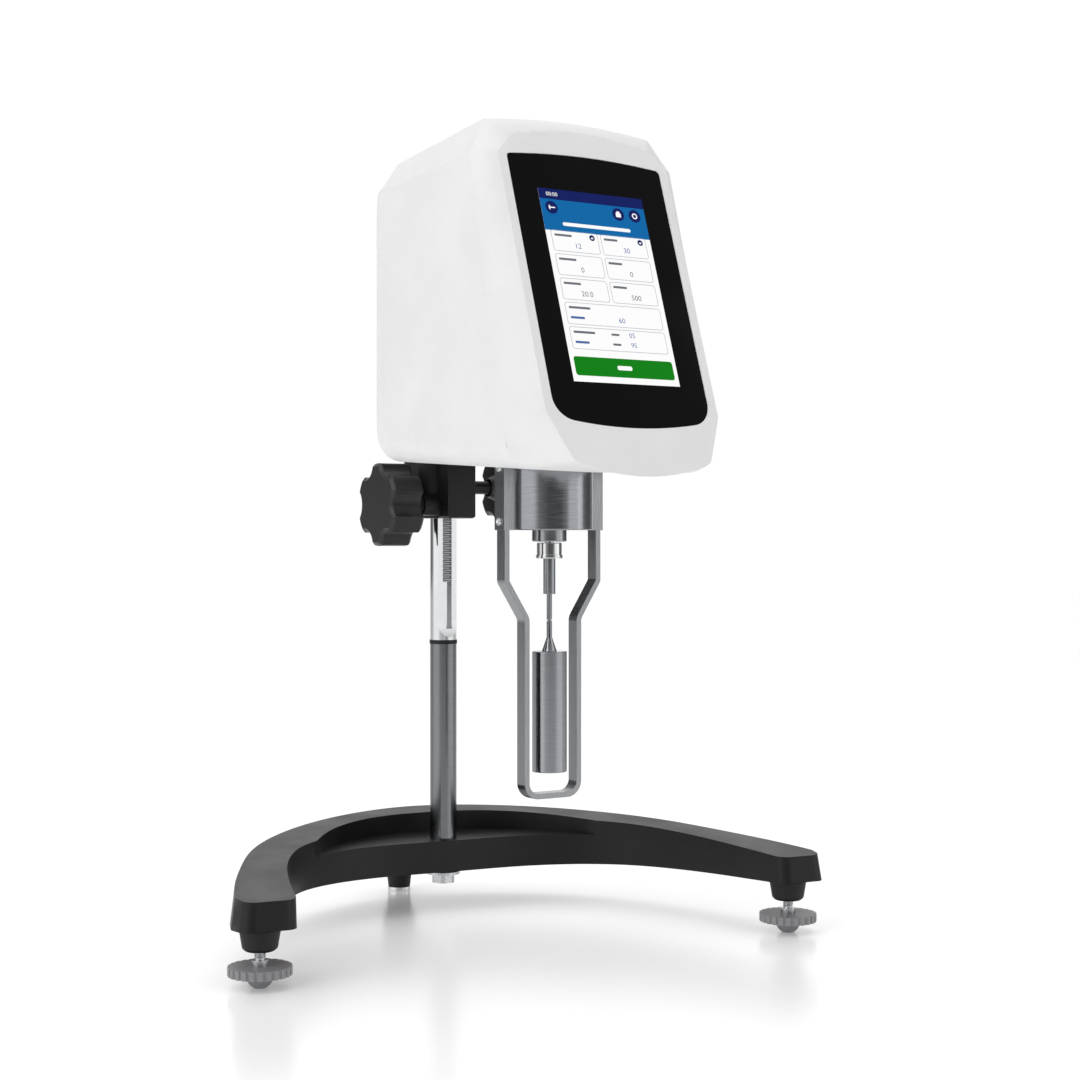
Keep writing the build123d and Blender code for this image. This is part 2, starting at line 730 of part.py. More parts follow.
def section(plane, half, low, high, low_bow, high_bow, shoulder, foot, corner, inset):
    """One outline of the head: bowed bottom and top, cut upper corners, drawn-in lower ones."""
    shoulder_x, shoulder_y = shoulder
    foot_x, foot_y = foot
    with BuildSketch(plane) as outline:
        with BuildLine():
            ThreePointArc((-half + foot_x, low), (0, low - low_bow), (half - foot_x, low))
            Line((half - foot_x, low), (half, low + foot_y))
            Line((half, low + foot_y), (half, high - shoulder_y))
            Line((half, high - shoulder_y), (half - shoulder_x, high))
            ThreePointArc((half - shoulder_x, high), (0, high + high_bow), (-half + shoulder_x, high))
            Line((-half + shoulder_x, high), (-half, high - shoulder_y))
            Line((-half, high - shoulder_y), (-half, low + foot_y))
            Line((-half, low + foot_y), (-half + foot_x, low))
        make_face()
        fillet(outline.vertices().group_by(Axis.Y)[0], corner)
        if inset:
            offset(amount=-inset)
    return outline.sketch


part_lean = cos(radians(lean_part))
part_low = (bottom_z + (part_y - (part_z - bottom_z) * tan(radians(lean_part))) * tan(radians(bottom_rise))
            - part_z) / part_lean
part_high = (top_z - crown - part_z) / part_lean


def head_sections(inset):
    """The display face, the middle of the bezel, the parting face and the rear face."""
    face_inset = face_wall if inset else 0
    face = section(leaning(front_y, front_z, lean_front, face_inset), face_half, face_low + face_belly,
                   face_high - face_crown, face_belly, face_crown, (face_shoulder, face_shoulder),
                   (face_foot, foot_rise), face_corner_low, inset)
    middle = section(leaning(mid_y, mid_z, lean_mid), mid_half, mid_low, mid_high, mid_belly, mid_crown,
                     (mid_shoulder, mid_shoulder_drop), (mid_foot, foot_rise), mid_corner, inset)
    parting = section(leaning(part_y, part_z, lean_part), head_half, part_low, part_high, belly, crown,
                      (shoulder_in, shoulder_rise), (part_foot, foot_rise), corner_bottom, inset)
    run = rear_y - part_y
    rear = section(Plane((column_x, spindle_y + rear_y, 0), x_dir=(1, 0, 0), z_dir=(0, -1, 0)),
                   head_half, bottom_z + rear_y * tan(radians(bottom_rise)),
                   top_z - crown - run * tan(radians(top_fall)), belly, crown,
                   (shoulder_in, shoulder_rise - run * tan(radians(top_fall - shoulder_fall))),
                   (part_foot, foot_rise), corner_bottom, inset)
    return face, middle, parting, rear


def rear_limits(inset):
    """Side and top outlines that round the back of the rear cover."""
    back = rear_y - inset
    radius = rear_bulge_r - inset
    low = bottom_z - corner_bottom
    high = top_z + inset
    sag = [radius - (radius ** 2 - (z - bulge_z) ** 2) ** 0.5 for z in (low, high)]
    with BuildSketch(head_side) as side:
        with BuildLine():
            ThreePointArc((back - sag[0], low), (back, bulge_z), (back - sag[1], high))
            Polyline((back - sag[1], high), (part_y - head_half, high), (part_y - head_half, low),
                     (back - sag[0], low))
        make_face()
    with BuildSketch(Plane((column_x, spindle_y, 0))) as top:
        with Locations((0, back - 2 * head_half)):
            Rectangle(2 * (head_half - inset), 4 * head_half)
        fillet(top.vertices().group_by(Axis.Y)[-1], rear_plan_r)
    return side.sketch, top.sketch


def back_half(inset):
    """The rear cover's form, solid, at an inset from the outside."""
    face, middle, parting, rear = head_sections(inset)
    side, top = rear_limits(inset)
    with BuildPart() as half:
        add(parting)
        add(rear)
        loft()
        extrude(side, amount=head_half, both=True, mode=Mode.INTERSECT)
        extrude(top, amount=top_z + head_half, mode=Mode.INTERSECT)
    return half.part


def front_half(inset):
    """The bezel's form, solid, at an inset from the outside."""
    face, middle, parting, rear = head_sections(inset)
    with BuildPart() as half:
        add(face)
        add(middle)
        add(parting)
        loft(ruled=inset > 0)
    return half.part


display_plane = leaning(front_y, front_z, lean_front)


def glass_outline(plane, grow):
    """The display panel's outline: bowed ends, large lower corners, small upper ones."""
    half, low, high = glass_half + grow, glass_low - grow, glass_high + grow
    with BuildSketch(plane) as outline:
        with BuildLine():
            ThreePointArc((-half, low + glass_belly), (0, low), (half, low + glass_belly))
            Line((half, low + glass_belly), (half, high - glass_crown))
            ThreePointArc((half, high - glass_crown), (0, high), (-half, high - glass_crown))
            Line((-half, high - glass_crown), (-half, low + glass_belly))
        make_face()
        fillet(outline.vertices().group_by(Axis.Y)[0], glass_corner_low)
        fillet(outline.vertices().group_by(Axis.Y)[-1], glass_corner_high)
    return outline.sketch


posts = GridLocations(2 * post_x, 2 * post_y, 2, 2)
with BuildPart() as cover_posts:
    with BuildSketch(spindle_base.offset(bottom_z - corner_bottom)):
        with posts:
            Circle(post_r)
    extrude(amount=plate_z - bottom_z + corner_bottom)
    add(back_half(0), mode=Mode.INTERSECT)

with BuildPart() as rear_cover:
    add(back_half(0))
    add(back_half(wall), mode=Mode.SUBTRACT)
    add(cover_posts.part)
    with BuildSketch(spindle_base):
        Circle(cup_r + cup_room)
        Rectangle(2 * (bracket_out + screw_head_h + cup_room), 2 * (bracket_half + cup_room))
    extrude(amount=plate_z, mode=Mode.SUBTRACT)
    with BuildSketch(spindle_base):
        with posts:
            Circle(cover_screw_r)
    extrude(amount=plate_z, mode=Mode.SUBTRACT)
    with BuildSketch(spindle_base):
        with posts:
            Circle(cover_head_r + running)
    extrude(amount=cover_head_top, mode=Mode.SUBTRACT)
    with BuildSketch(bar_plane.offset(plate_back)):
        Circle(bar_r + bar_room)
    extrude(amount=head_half, mode=Mode.SUBTRACT)
finish(rear_cover.part, "rear_cover")

with BuildPart() as front_bezel:
    add(front_half(0))
    add(front_half(wall), mode=Mode.SUBTRACT)
    add(glass_outline(display_plane.offset(-glass_back), running))
    extrude(amount=glass_back + wall, dir=display_plane.z_dir, mode=Mode.SUBTRACT)
    with BuildSketch(display_plane.offset(-glass_back)):
        with Locations((0, screen_middle)):
            Rectangle(window_x, window_y)
    extrude(amount=-face_wall, mode=Mode.SUBTRACT)
finish(front_bezel.part, "front_bezel")

# ---------------------------------------------------------------- display
# A black glass panel let into the bezel; the screen module is taped to its back by a gasket
# and stands in the bezel's window.
module_plane = display_plane.offset(-glass_back - gasket_thick)
with BuildPart() as display_glass:
    add(glass_outline(display_plane.offset(-glass_back), 0))
    extrude(amount=glass_thick, dir=display_plane.z_dir)
finish(display_glass.part, "display_glass")

with BuildPart() as display_gasket:
    with BuildSketch(module_plane):
        with Locations((0, screen_middle)):
            Rectangle(module_x, module_y)
            Rectangle(module_x - 2 * gasket_wide, module_y - 2 * gasket_wide, mode=Mode.SUBTRACT)
    extrude(amount=gasket_thick)
finish(display_gasket.part, "display_gasket")

with BuildPart() as display_module:
    with BuildSketch(module_plane):
        with Locations((0, screen_middle)):
            Rectangle(module_x, module_y)
    extrude(amount=-module_thick)
finish(display_module.part, "display_module")

# ---------------------------------------------------------------- chassis
# An aluminium plate carries the drive above it and the pivot cup below it. Its rear flange
# takes the mounting bar, and the rear cover is screwed to it from below.
flange_front = bar_plane.offset(plate_back - flange_thick)
with BuildPart() as chassis_plate:
    with BuildSketch(spindle_base.offset(plate_z)):
        with Locations((0, (plate_front + plate_back) / 2)):
            Rectangle(2 * plate_half, plate_back - plate_front)
        Circle(drive_bearing_r, mode=Mode.SUBTRACT)
        with posts:
            Circle(cover_screw_r, mode=Mode.SUBTRACT)
    extrude(amount=plate_thick)
    with BuildSketch(spindle_base.offset(plate_z)):
        with Locations((0, plate_back - flange_thick / 2)):
            Rectangle(2 * flange_half, flange_thick)
    extrude(amount=flange_top - plate_z)
    with BuildSketch(flange_front):
        Circle(bar_bolt_r + running)
    extrude(amount=flange_thick, mode=Mode.SUBTRACT)
finish(chassis_plate.part, "chassis_plate")

with BuildPart() as mounting_bar:
    with BuildSketch(bar_plane.offset(plate_back)):
        Circle(bar_r)
    extrude(amount=bar_end - plate_back)
    chamfer(mounting_bar.edges().group_by(Axis.Y)[-1], clamp_edge)
    with BuildSketch(bar_plane.offset(plate_back)):
        Circle(bar_bolt_r)
    extrude(amount=bar_bolt_deep, mode=Mode.SUBTRACT)
finish(mounting_bar.part, "mounting_bar")

with BuildPart() as bar_bolt:
    with BuildSketch(flange_front):
        Circle(bar_head_r)
    extrude(amount=-bar_head_h)
    with BuildSketch(flange_front):
        Circle(bar_bolt_r)
    extrude(amount=flange_thick + bar_bolt_deep)
    with BuildSketch(flange_front.offset(-bar_head_h)):
        RegularPolygon(bar_socket / 2, 6, major_radius=False)
    extrude(amount=bar_socket_deep, mode=Mode.SUBTRACT)
finish(bar_bolt.part, "bar_bolt")

with BuildPart() as cover_screws:
    with BuildSketch(spindle_base.offset(cover_head_top - cover_head_h)):
        with posts:
            Circle(cover_head_r)
    extrude(amount=cover_head_h)
    with BuildSketch(spindle_base.offset(cover_head_top)):
        with posts:
            Circle(cover_screw_r)
    extrude(amount=plate_top - cover_head_top)
finish(cover_screws.part, "cover_screws")

# ---------------------------------------------------------------- drive
# A stepper motor on the gear plate turns the hollow drive shaft through a pair of spur gears.
# Below the chassis plate the shaft carries the outer end of the torque spring.
gear_z = plate_top + gear_room
gear_plate_z = gear_z + gear_h + gear_room
motor_y = (drive_teeth + motor_teeth) / 2 * gear_module
gear_pitch = pi * gear_module
carrier_z = plate_z - carrier_gap
drive_gear_plane = Plane(spindle_base.offset(gear_z).origin, x_dir=(0, 1, 0), z_dir=(0, 0, 1))
gap_angle = radians(-90 + 180 / motor_teeth)
motor_axis = Plane((column_x, spindle_y + motor_y, 0), x_dir=(cos(gap_angle), sin(gap_angle), 0),
                   z_dir=(0, 0, 1))

gear_posts = GridLocations(2 * (gear_plate_half - gear_post_in),
                           gear_plate_back - gear_plate_front - 2 * gear_post_in, 2, 2)
gear_plate_middle = (gear_plate_front + gear_plate_back) / 2
gear_plate_base = Plane((column_x, spindle_y + gear_plate_middle, gear_plate_z))
with BuildPart() as gear_plate:
    with BuildSketch(gear_plate_base):
        RectangleRounded(2 * gear_plate_half, gear_plate_back - gear_plate_front, gear_post_in)
    extrude(amount=plate_thick)
    with BuildSketch(spindle_base.offset(gear_plate_z)):
        Circle(drive_bearing_r)
    extrude(amount=plate_thick, mode=Mode.SUBTRACT)
    with BuildSketch(motor_axis.offset(gear_plate_z)):
        Circle(motor_boss_r + running)
    extrude(amount=plate_thick, mode=Mode.SUBTRACT)
finish(gear_plate.part, "gear_plate")

with BuildPart() as gear_plate_posts:
    with BuildSketch(gear_plate_base):
        with gear_posts:
            Circle(gear_post_r)
    extrude(amount=plate_top - gear_plate_z)
finish(gear_plate_posts.part, "gear_plate_posts")

with BuildPart() as shaft_bearings:
    with BuildSketch(spindle_base.offset(plate_z), spindle_base.offset(gear_plate_z)):
        Circle(drive_bearing_r)
        Circle(drive_shaft_r + running, mode=Mode.SUBTRACT)
    extrude(amount=plate_thick)
finish(shaft_bearings.part, "shaft_bearings")

with BuildPart() as drive_shaft:
    with BuildSketch(spindle_base.offset(carrier_z + carrier_thick)):
        Circle(drive_shaft_r)
        Circle(drive_bore_r, mode=Mode.SUBTRACT)
    extrude(amount=gear_plate_z + plate_thick + drive_shaft_top - carrier_z - carrier_thick)
finish(drive_shaft.part, "drive_shaft")

with BuildPart() as drive_gear:
    with BuildSketch(drive_gear_plane):
        Polygon(*involute_gear(drive_teeth, gear_pitch, gear_tip, gear_root), align=None)
        Circle(drive_shaft_r, mode=Mode.SUBTRACT)
    extrude(amount=gear_h)
finish(drive_gear.part, "drive_gear")

with BuildPart() as motor_pinion:
    with BuildSketch(motor_axis.offset(gear_z)):
        Polygon(*involute_gear(motor_teeth, gear_pitch, gear_tip, gear_root), align=None)
    extrude(amount=gear_h)
    with BuildSketch(motor_axis.offset(gear_z + gear_h)):
        Circle(motor_shaft_r)
    extrude(amount=gear_room - body_gap)
finish(motor_pinion.part, "motor_pinion")

with BuildPart() as drive_motor:
    with BuildSketch(Plane(motor_axis.offset(gear_plate_z + plate_thick).origin)):
        RectangleRounded(2 * motor_half, 2 * motor_half, motor_corner)
    extrude(amount=motor_h)
    with BuildSketch(motor_axis.offset(gear_plate_z)):
        Circle(motor_boss_r)
    extrude(amount=plate_thick)
finish(drive_motor.part, "drive_motor")

# Torque spring: a flat spiral from the collet on the pivot shaft to a peg on the carrier
spring_z = carrier_z - spring_gap - spring_h
spring_pitch = (spring_outer - spring_inner) / spring_turns


def spiral(offset_r):
    """One edge of the spring's strip: two half circles to each turn."""
    for turns in range(spring_turns):
        upper = spring_inner + turns * spring_pitch + offset_r
        lower = upper + spring_pitch / 2
        ThreePointArc((upper, 0), (0, upper), (-upper, 0))
        ThreePointArc((-upper, 0), (spring_pitch / 2, -lower), (spring_pitch / 2 + lower, 0))


with BuildPart() as torque_spring:
    with BuildSketch(spindle_base.offset(spring_z)):
        with BuildLine():
            for edge in (-spring_strip / 2, spring_strip / 2):
                spiral(edge)
            for end in (spring_inner, spring_outer):
                Line((end - spring_strip / 2, 0), (end + spring_strip / 2, 0))
        make_face()
    extrude(amount=spring_h, dir=spindle_base.z_dir)
finish(torque_spring.part, "torque_spring")

with BuildPart() as spring_carrier:
    with BuildSketch(spindle_base.offset(carrier_z)):
        Circle(carrier_r)
        Circle(drive_bore_r, mode=Mode.SUBTRACT)
    extrude(amount=carrier_thick)
    with BuildSketch(spindle_base.offset(spring_z)):
        with Locations((spring_outer, 0)):
            Circle(peg_r)
    extrude(amount=carrier_z - spring_z)
    add(torque_spring.part, mode=Mode.SUBTRACT)
finish(spring_carrier.part, "spring_carrier")

# The shaft's turn and the spring's twist are read by a slotted disc on each shaft
drive_disc_z = gear_plate_z + plate_thick + drive_shaft_top
pivot_disc_z = drive_disc_z + disc_thick + disc_gap
with BuildPart() as drive_disc:
    with BuildSketch(spindle_base.offset(drive_disc_z)):
        Circle(disc_r)
        Circle(drive_bore_r, mode=Mode.SUBTRACT)
    extrude(amount=disc_thick)
finish(drive_disc.part, "drive_disc")

with BuildPart() as pivot_disc:
    with BuildSketch(spindle_base.offset(pivot_disc_z)):
        Circle(disc_r)
        Circle(shaft_r, mode=Mode.SUBTRACT)
    extrude(amount=disc_thick)
finish(pivot_disc.part, "pivot_disc")

sensor_top = pivot_disc_z + disc_thick + sensor_over
with BuildPart() as disc_sensor:
    with BuildSketch(Plane((column_x, spindle_y + (sensor_front + sensor_back) / 2,
                            gear_plate_z + plate_thick))):
        Rectangle(2 * sensor_half, sensor_back - sensor_front)
    extrude(amount=sensor_top - gear_plate_z - plate_thick)
    with BuildSketch(spindle_base.offset(gear_plate_z + plate_thick)):
        Circle(drive_bearing_r)
    extrude(amount=sensor_top, mode=Mode.SUBTRACT)
    with BuildSketch(spindle_base.offset(drive_disc_z - disc_room),
                     spindle_base.offset(pivot_disc_z - disc_room)):
        Circle(disc_r + disc_room)
    extrude(amount=disc_thick + 2 * disc_room, mode=Mode.SUBTRACT)
finish(disc_sensor.part, "disc_sensor")

# The main board stands on four posts over the drive
board_middle = (board_front + board_back) / 2
board_base = Plane((column_x, spindle_y + board_middle, board_z))
board_posts_at = GridLocations(2 * (board_half - board_post_in),
                               board_back - board_front - 2 * board_post_in, 2, 2)
with BuildPart() as board_posts:
    with BuildSketch(board_base):
        with board_posts_at:
            Circle(board_post_r)
    extrude(amount=plate_top - board_z)
finish(board_posts.part, "board_posts")

with BuildPart() as main_board:
    with BuildSketch(board_base):
        Rectangle(2 * board_half, board_back - board_front)
    extrude(amount=board_thick)
finish(main_board.part, "main_board")

# ---------------------------------------------------------------- pivot cup and guard
# A turned steel cup under the chassis plate; the bearing in its boss steadies the pivot
# shaft. A channel on each side of it holds one end of the guard leg, a bent steel strip.
boss_bottom = cup_bottom - boss_drop
cup_inside = cup_bottom + cup_floor
with BuildPart() as pivot_cup:
    with BuildSketch(spindle_base.offset(cup_bottom)):
        Circle(cup_r)
    extrude(amount=plate_z - cup_bottom)
    chamfer(pivot_cup.edges().group_by(Axis.Z)[0], cup_edge)
    with BuildSketch(spindle_base.offset(plate_z)):
        Circle(cup_flange_r)
    extrude(amount=-cup_flange_h)
    with BuildSketch(spindle_base.offset(boss_bottom)):
        Circle(boss_r)
    extrude(amount=boss_drop)
    chamfer(pivot_cup.edges().group_by(Axis.Z)[0], cup_edge)
    with BuildSketch(spindle_base.offset(cup_inside)):
        Circle(cup_r - cup_wall)
    extrude(amount=plate_z - cup_inside, mode=Mode.SUBTRACT)
    with BuildSketch(spindle_base.offset(cup_inside)):
        Circle(bearing_r)
    extrude(amount=-bearing_h, mode=Mode.SUBTRACT)
    with BuildSketch(spindle_base.offset(boss_bottom)):
        Circle(shaft_r + cup_hole_room)
    extrude(amount=boss_drop, mode=Mode.SUBTRACT)
finish(pivot_cup.part, "pivot_cup")

with BuildPart() as jewel_bearing:
    with BuildSketch(spindle_base.offset(cup_inside)):
        Circle(bearing_r)
        Circle(shaft_r + running, mode=Mode.SUBTRACT)
    extrude(amount=-bearing_h)
finish(jewel_bearing.part, "jewel_bearing")

guard_plane = Plane(spindle_base.origin, x_dir=(1, 0, 0), z_dir=(0, -1, 0))
with BuildPart() as guard_leg:
    with BuildSketch(guard_plane) as strip:
        Polygon((-leg_upper, leg_top + leg_thick), (-leg_upper, leg_knee_high), (-leg_lower, leg_knee_low),
                (-leg_lower, leg_bottom), (leg_lower, leg_bottom), (leg_lower, leg_knee_low),
                (leg_upper, leg_knee_high), (leg_upper, leg_top + leg_thick), align=None)
        lowest, knee_low, knee_high, highest = strip.vertices().group_by(Axis.Y)
        fillet(knee_low + knee_high, leg_knee_r)
        fillet(strip.vertices().group_by(Axis.Y)[0], leg_corner)
        offset(amount=-leg_thick, mode=Mode.SUBTRACT)
        with Locations((0, leg_top)):
            Rectangle(2 * leg_upper, leg_thick, align=(Align.CENTER, Align.MIN), mode=Mode.SUBTRACT)
    extrude(amount=leg_wide / 2, both=True)
    with BuildSketch(Plane(spindle_base.origin, x_dir=(0, 1, 0), z_dir=(1, 0, 0))):
        with Locations(*[(0, level) for level in screw_z]):
            Circle(screw_r + running)
    extrude(amount=leg_upper, both=True, mode=Mode.SUBTRACT)
finish(guard_leg.part, "guard_leg")

for name, side in (("left_bracket", -1), ("right_bracket", 1)):
    screw_side = Plane((column_x + side * bracket_out, spindle_y, 0), x_dir=(0, side, 0),
                       z_dir=(side, 0, 0))
    with BuildPart() as bracket:
        with BuildSketch(spindle_base.offset(cup_bottom)):
            with Locations((side * bracket_out / 2, 0)):
                Rectangle(bracket_out, 2 * bracket_half)
            Circle(cup_r, mode=Mode.SUBTRACT)
        extrude(amount=bracket_top - cup_bottom)
        with BuildSketch(spindle_base.offset(cup_bottom)):
            with Locations((side * (leg_upper - leg_thick / 2), 0)):
                Rectangle(leg_thick + 2 * running, leg_wide + 2 * running)
        extrude(amount=leg_top + body_gap - cup_bottom, mode=Mode.SUBTRACT)
        with BuildSketch(screw_side):
            with Locations(*[(0, level) for level in screw_z]):
                Circle(screw_r)
        extrude(amount=-screw_deep, mode=Mode.SUBTRACT)
    finish(bracket.part, name)

with BuildPart() as bracket_screws:
    for side in (-1, 1):
        screw_side = Plane((column_x + side * bracket_out, spindle_y, 0), x_dir=(0, side, 0),
                       z_dir=(side, 0, 0))
        with BuildSketch(screw_side):
            with Locations(*[(0, level) for level in screw_z]):
                Circle(screw_head_r)
        extrude(amount=screw_head_h)
        with BuildSketch(screw_side):
            with Locations(*[(0, level) for level in screw_z]):
                Circle(screw_r)
        extrude(amount=-screw_deep)
finish(bracket_screws.part, "bracket_screws")

# ---------------------------------------------------------------- measuring system
# The pivot shaft hangs in its bearing and carries the spindle by a coupling nut. The spindle
# is turned from one bar: threaded end, thick shank, thin stem with an immersion mark, cone
# and measuring cylinder.
nut_top = boss_bottom - nut_gap
nut_bottom = nut_top - nut_h
shaft_end = (nut_top + nut_bottom) / 2
with BuildPart() as pivot_shaft:
    with BuildSketch(spindle_base.offset(shaft_end)):
        Circle(shaft_r)
    extrude(amount=sensor_top - shaft_end)
finish(pivot_shaft.part, "pivot_shaft")

with BuildPart() as spring_collet:
    with BuildSketch(spindle_base.offset(spring_z)):
        Circle(collet_r - body_gap)
        Circle(shaft_r, mode=Mode.SUBTRACT)
    extrude(amount=spring_h)
finish(spring_collet.part, "spring_collet")

with BuildPart() as coupling_nut:
    with BuildSketch(spindle_base.offset(nut_bottom)):
        Circle(nut_r)
    extrude(amount=nut_h)
    chamfer(coupling_nut.edges().group_by(Axis.Z)[-1], cup_edge)
    with BuildSketch(spindle_base.offset(nut_bottom)):
        Circle(nut_lip_r)
    extrude(amount=nut_lip_h)
    with BuildSketch(spindle_base.offset(nut_bottom)):
        Circle(shaft_r)
    extrude(amount=nut_h, mode=Mode.SUBTRACT)
finish(coupling_nut.part, "coupling_nut")

shank_bottom = nut_bottom - upper_h
stem_bottom = shank_bottom - stem_h
bob_top = stem_bottom - cone_h
mark_z = shank_bottom - immersion_z
with BuildPart() as spindle:
    with BuildSketch(guard_plane):
        Polygon((0, shaft_end), (shaft_r, shaft_end), (shaft_r, nut_bottom), (upper_r, nut_bottom),
                (upper_r, shank_bottom), (stem_r, shank_bottom), (stem_r, mark_z + immersion_h / 2),
                (stem_r - immersion_deep, mark_z + immersion_h / 2),
                (stem_r - immersion_deep, mark_z - immersion_h / 2), (stem_r, mark_z - immersion_h / 2),
                (stem_r, stem_bottom), (cone_r, bob_top), (bob_r - bob_edge, bob_top),
                (bob_r, bob_top - bob_edge), (bob_r, bob_top - bob_h + bob_edge),
                (bob_r - bob_edge, bob_top - bob_h), (0, bob_top - bob_h), align=None)
    revolve(axis=Axis(spindle_base.origin, (0, 0, 1)))
finish(spindle.part, "spindle")
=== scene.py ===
from math import cos, pi, radians, sin

import bmesh
import bpy
from mathutils import Matrix, Vector


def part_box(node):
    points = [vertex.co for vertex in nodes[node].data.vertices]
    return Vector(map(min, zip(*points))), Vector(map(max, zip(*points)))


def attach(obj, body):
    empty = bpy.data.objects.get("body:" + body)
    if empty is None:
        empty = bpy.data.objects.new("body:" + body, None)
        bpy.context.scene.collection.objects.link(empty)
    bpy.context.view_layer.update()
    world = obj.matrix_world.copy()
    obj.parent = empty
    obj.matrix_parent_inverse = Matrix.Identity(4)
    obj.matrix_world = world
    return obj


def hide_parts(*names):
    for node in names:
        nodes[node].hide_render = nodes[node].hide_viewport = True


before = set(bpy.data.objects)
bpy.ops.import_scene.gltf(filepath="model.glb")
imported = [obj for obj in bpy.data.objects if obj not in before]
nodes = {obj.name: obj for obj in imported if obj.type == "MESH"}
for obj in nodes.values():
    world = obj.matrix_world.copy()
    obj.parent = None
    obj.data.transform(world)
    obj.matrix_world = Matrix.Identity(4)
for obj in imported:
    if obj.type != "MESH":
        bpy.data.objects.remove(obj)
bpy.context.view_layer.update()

mm = 0.001

# ---- Studio
# A pale matt bench under large soft boxes. The camera is low and level, as for a catalogue
# view, a little under the head and turned to the machine's left side.
camera_place = (-0.51355, -0.90894, 0.221)
camera_turn = 31.5           # degrees to the right of straight ahead
focal_pixels = 1855          # for a frame 1080 pixels wide
frame_pixels = 1080
bench_size = 14.0
lens = bpy.data.cameras.new("camera")
lens.sensor_width = 36.0
lens.lens = focal_pixels / frame_pixels * lens.sensor_width
lens.clip_start = 0.05
camera = bpy.data.objects.new("camera", lens)
camera.location = camera_place
camera.rotation_euler = (pi / 2, 0, -radians(camera_turn))
bpy.context.scene.collection.objects.link(camera)
bpy.context.scene.camera = camera


def colour(code):
    """An sRGB hex colour as Blender's linear values."""
    parts = [int(code[i:i + 2], 16) / 255 for i in (1, 3, 5)]
    linear = [p / 12.92 if p <= 0.04045 else ((p + 0.055) / 1.055) ** 2.4 for p in parts]
    return (*linear, 1.0)


def add_node(tree, kind, inputs=None, **settings):
    """Adds a node with its settings; an input is given a value, or a link if it is a socket."""
    node = tree.nodes.new(kind)
    for key, value in settings.items():
        setattr(node, key, value)
    for key, value in (inputs or {}).items():
        if isinstance(value, bpy.types.NodeSocket):
            tree.links.new(value, node.inputs[key])
        else:
            node.inputs[key].default_value = value
    return node


def new_material(name, **sockets):
    """A named material, its node tree and its shader, with plain socket values set."""
    material = bpy.data.materials.new(name)
    material.use_nodes = True
    shader = material.node_tree.nodes["Principled BSDF"]
    for key, value in sockets.items():
        shader.inputs[key.replace("_", " ")].default_value = value
    return material, material.node_tree, shader


def link_mesh(name, mesh_builder, material, body):
    """Turns a bmesh into a piece that rides on a body."""
    mesh = bpy.data.meshes.new(name)
    mesh_builder.to_mesh(mesh)
    mesh_builder.free()
    piece = bpy.data.objects.new(name, mesh)
    bpy.context.scene.collection.objects.link(piece)
    mesh.materials.append(material)
    if body:
        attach(piece, body)
    return piece


def soft_box(name, place, aim, size, watts):
    """A square area light that faces a point."""
    light = bpy.data.lights.new(name, "AREA")
    light.shape = "RECTANGLE"
    light.size, light.size_y = size
    light.energy = watts
    box = bpy.data.objects.new(name, light)
    box.location = place
    box.rotation_euler = (Vector(aim) - Vector(place)).to_track_quat("-Z", "Y").to_euler()
    bpy.context.scene.collection.objects.link(box)


head_aim = (0.0, -0.05, 0.30)
soft_box("key_box", (-1.7, -0.5, 1.3), head_aim, (1.1, 1.6), 8.5)
soft_box("fill_box", (1.7, -1.2, 0.9), head_aim, (0.7, 1.6), 1.5)
soft_box("top_box", (0.1, 0.1, 2.0), head_aim, (1.8, 1.8), 9)

# The room: tall white walls to the left and right with dark flags between them and a dark
# front, which turned and ground steel shows as upright bands. Overhead it is white.
bpy.context.scene.view_settings.view_transform = "Standard"
world = bpy.data.worlds.new("studio")
bpy.context.scene.world = world
world.use_nodes = True
room = world.node_tree
sky = room.nodes["Background"]
toward = add_node(room, "ShaderNodeTexCoord")
turned = add_node(room, "ShaderNodeMapping", {"Vector": toward.outputs["Generated"],
                                              "Rotation": (0, 0, radians(camera_turn))})
parts = add_node(room, "ShaderNodeSeparateXYZ", {"Vector": turned.outputs["Vector"]})
behind = add_node(room, "ShaderNodeMath", {0: parts.outputs["Y"], 1: -1.0}, operation="MULTIPLY")
round_room = add_node(room, "ShaderNodeMath", {0: parts.outputs["X"], 1: behind.outputs["Value"]},
                      operation="ARCTAN2")
share = add_node(room, "ShaderNodeMapRange", {"Value": round_room.outputs["Value"], "From Min": -pi,
                                              "From Max": pi})
walls = add_node(room, "ShaderNodeValToRGB", {"Fac": share.outputs["Result"]})
walls.color_ramp.interpolation = "EASE"
for end in walls.color_ramp.elements:
    end.color = (1.05, 1.05, 1.05, 1.0)
wall_levels = (              # degrees round the room from the camera, and how bright it is there
    (-158, 1.05), (-138, 0.3), (-120, 0.12), (-102, 0.3), (-84, 1.2), (-44, 1.2), (-24, 0.25), (0, 0.08),
    (28, 0.1), (44, 0.35), (56, 1.15), (86, 1.15), (104, 0.24), (124, 0.12), (140, 0.3), (160, 1.05),
)
for degrees_round, level in wall_levels:
    stop = walls.color_ramp.elements.new(degrees_round / 360 + 0.5)
    stop.color = (level, level, level, 1.0)
overhead = add_node(room, "ShaderNodeMapRange",
                    {"Value": parts.outputs["Z"], "From Min": 0.35, "From Max": 0.85})
inside = add_node(room, "ShaderNodeMix", {"Factor": overhead.outputs["Result"]}, data_type="RGBA")
room.links.new(walls.outputs["Color"], inside.inputs[6])
inside.inputs[7].default_value = (0.75, 0.75, 0.75, 1.0)
seen = add_node(room, "ShaderNodeLightPath")
shown = add_node(room, "ShaderNodeMix", {"Factor": seen.outputs["Is Camera Ray"]}, data_type="RGBA")
room.links.new(inside.outputs[2], shown.inputs[6])
shown.inputs[7].default_value = (1.04, 1.04, 1.04, 1.0)
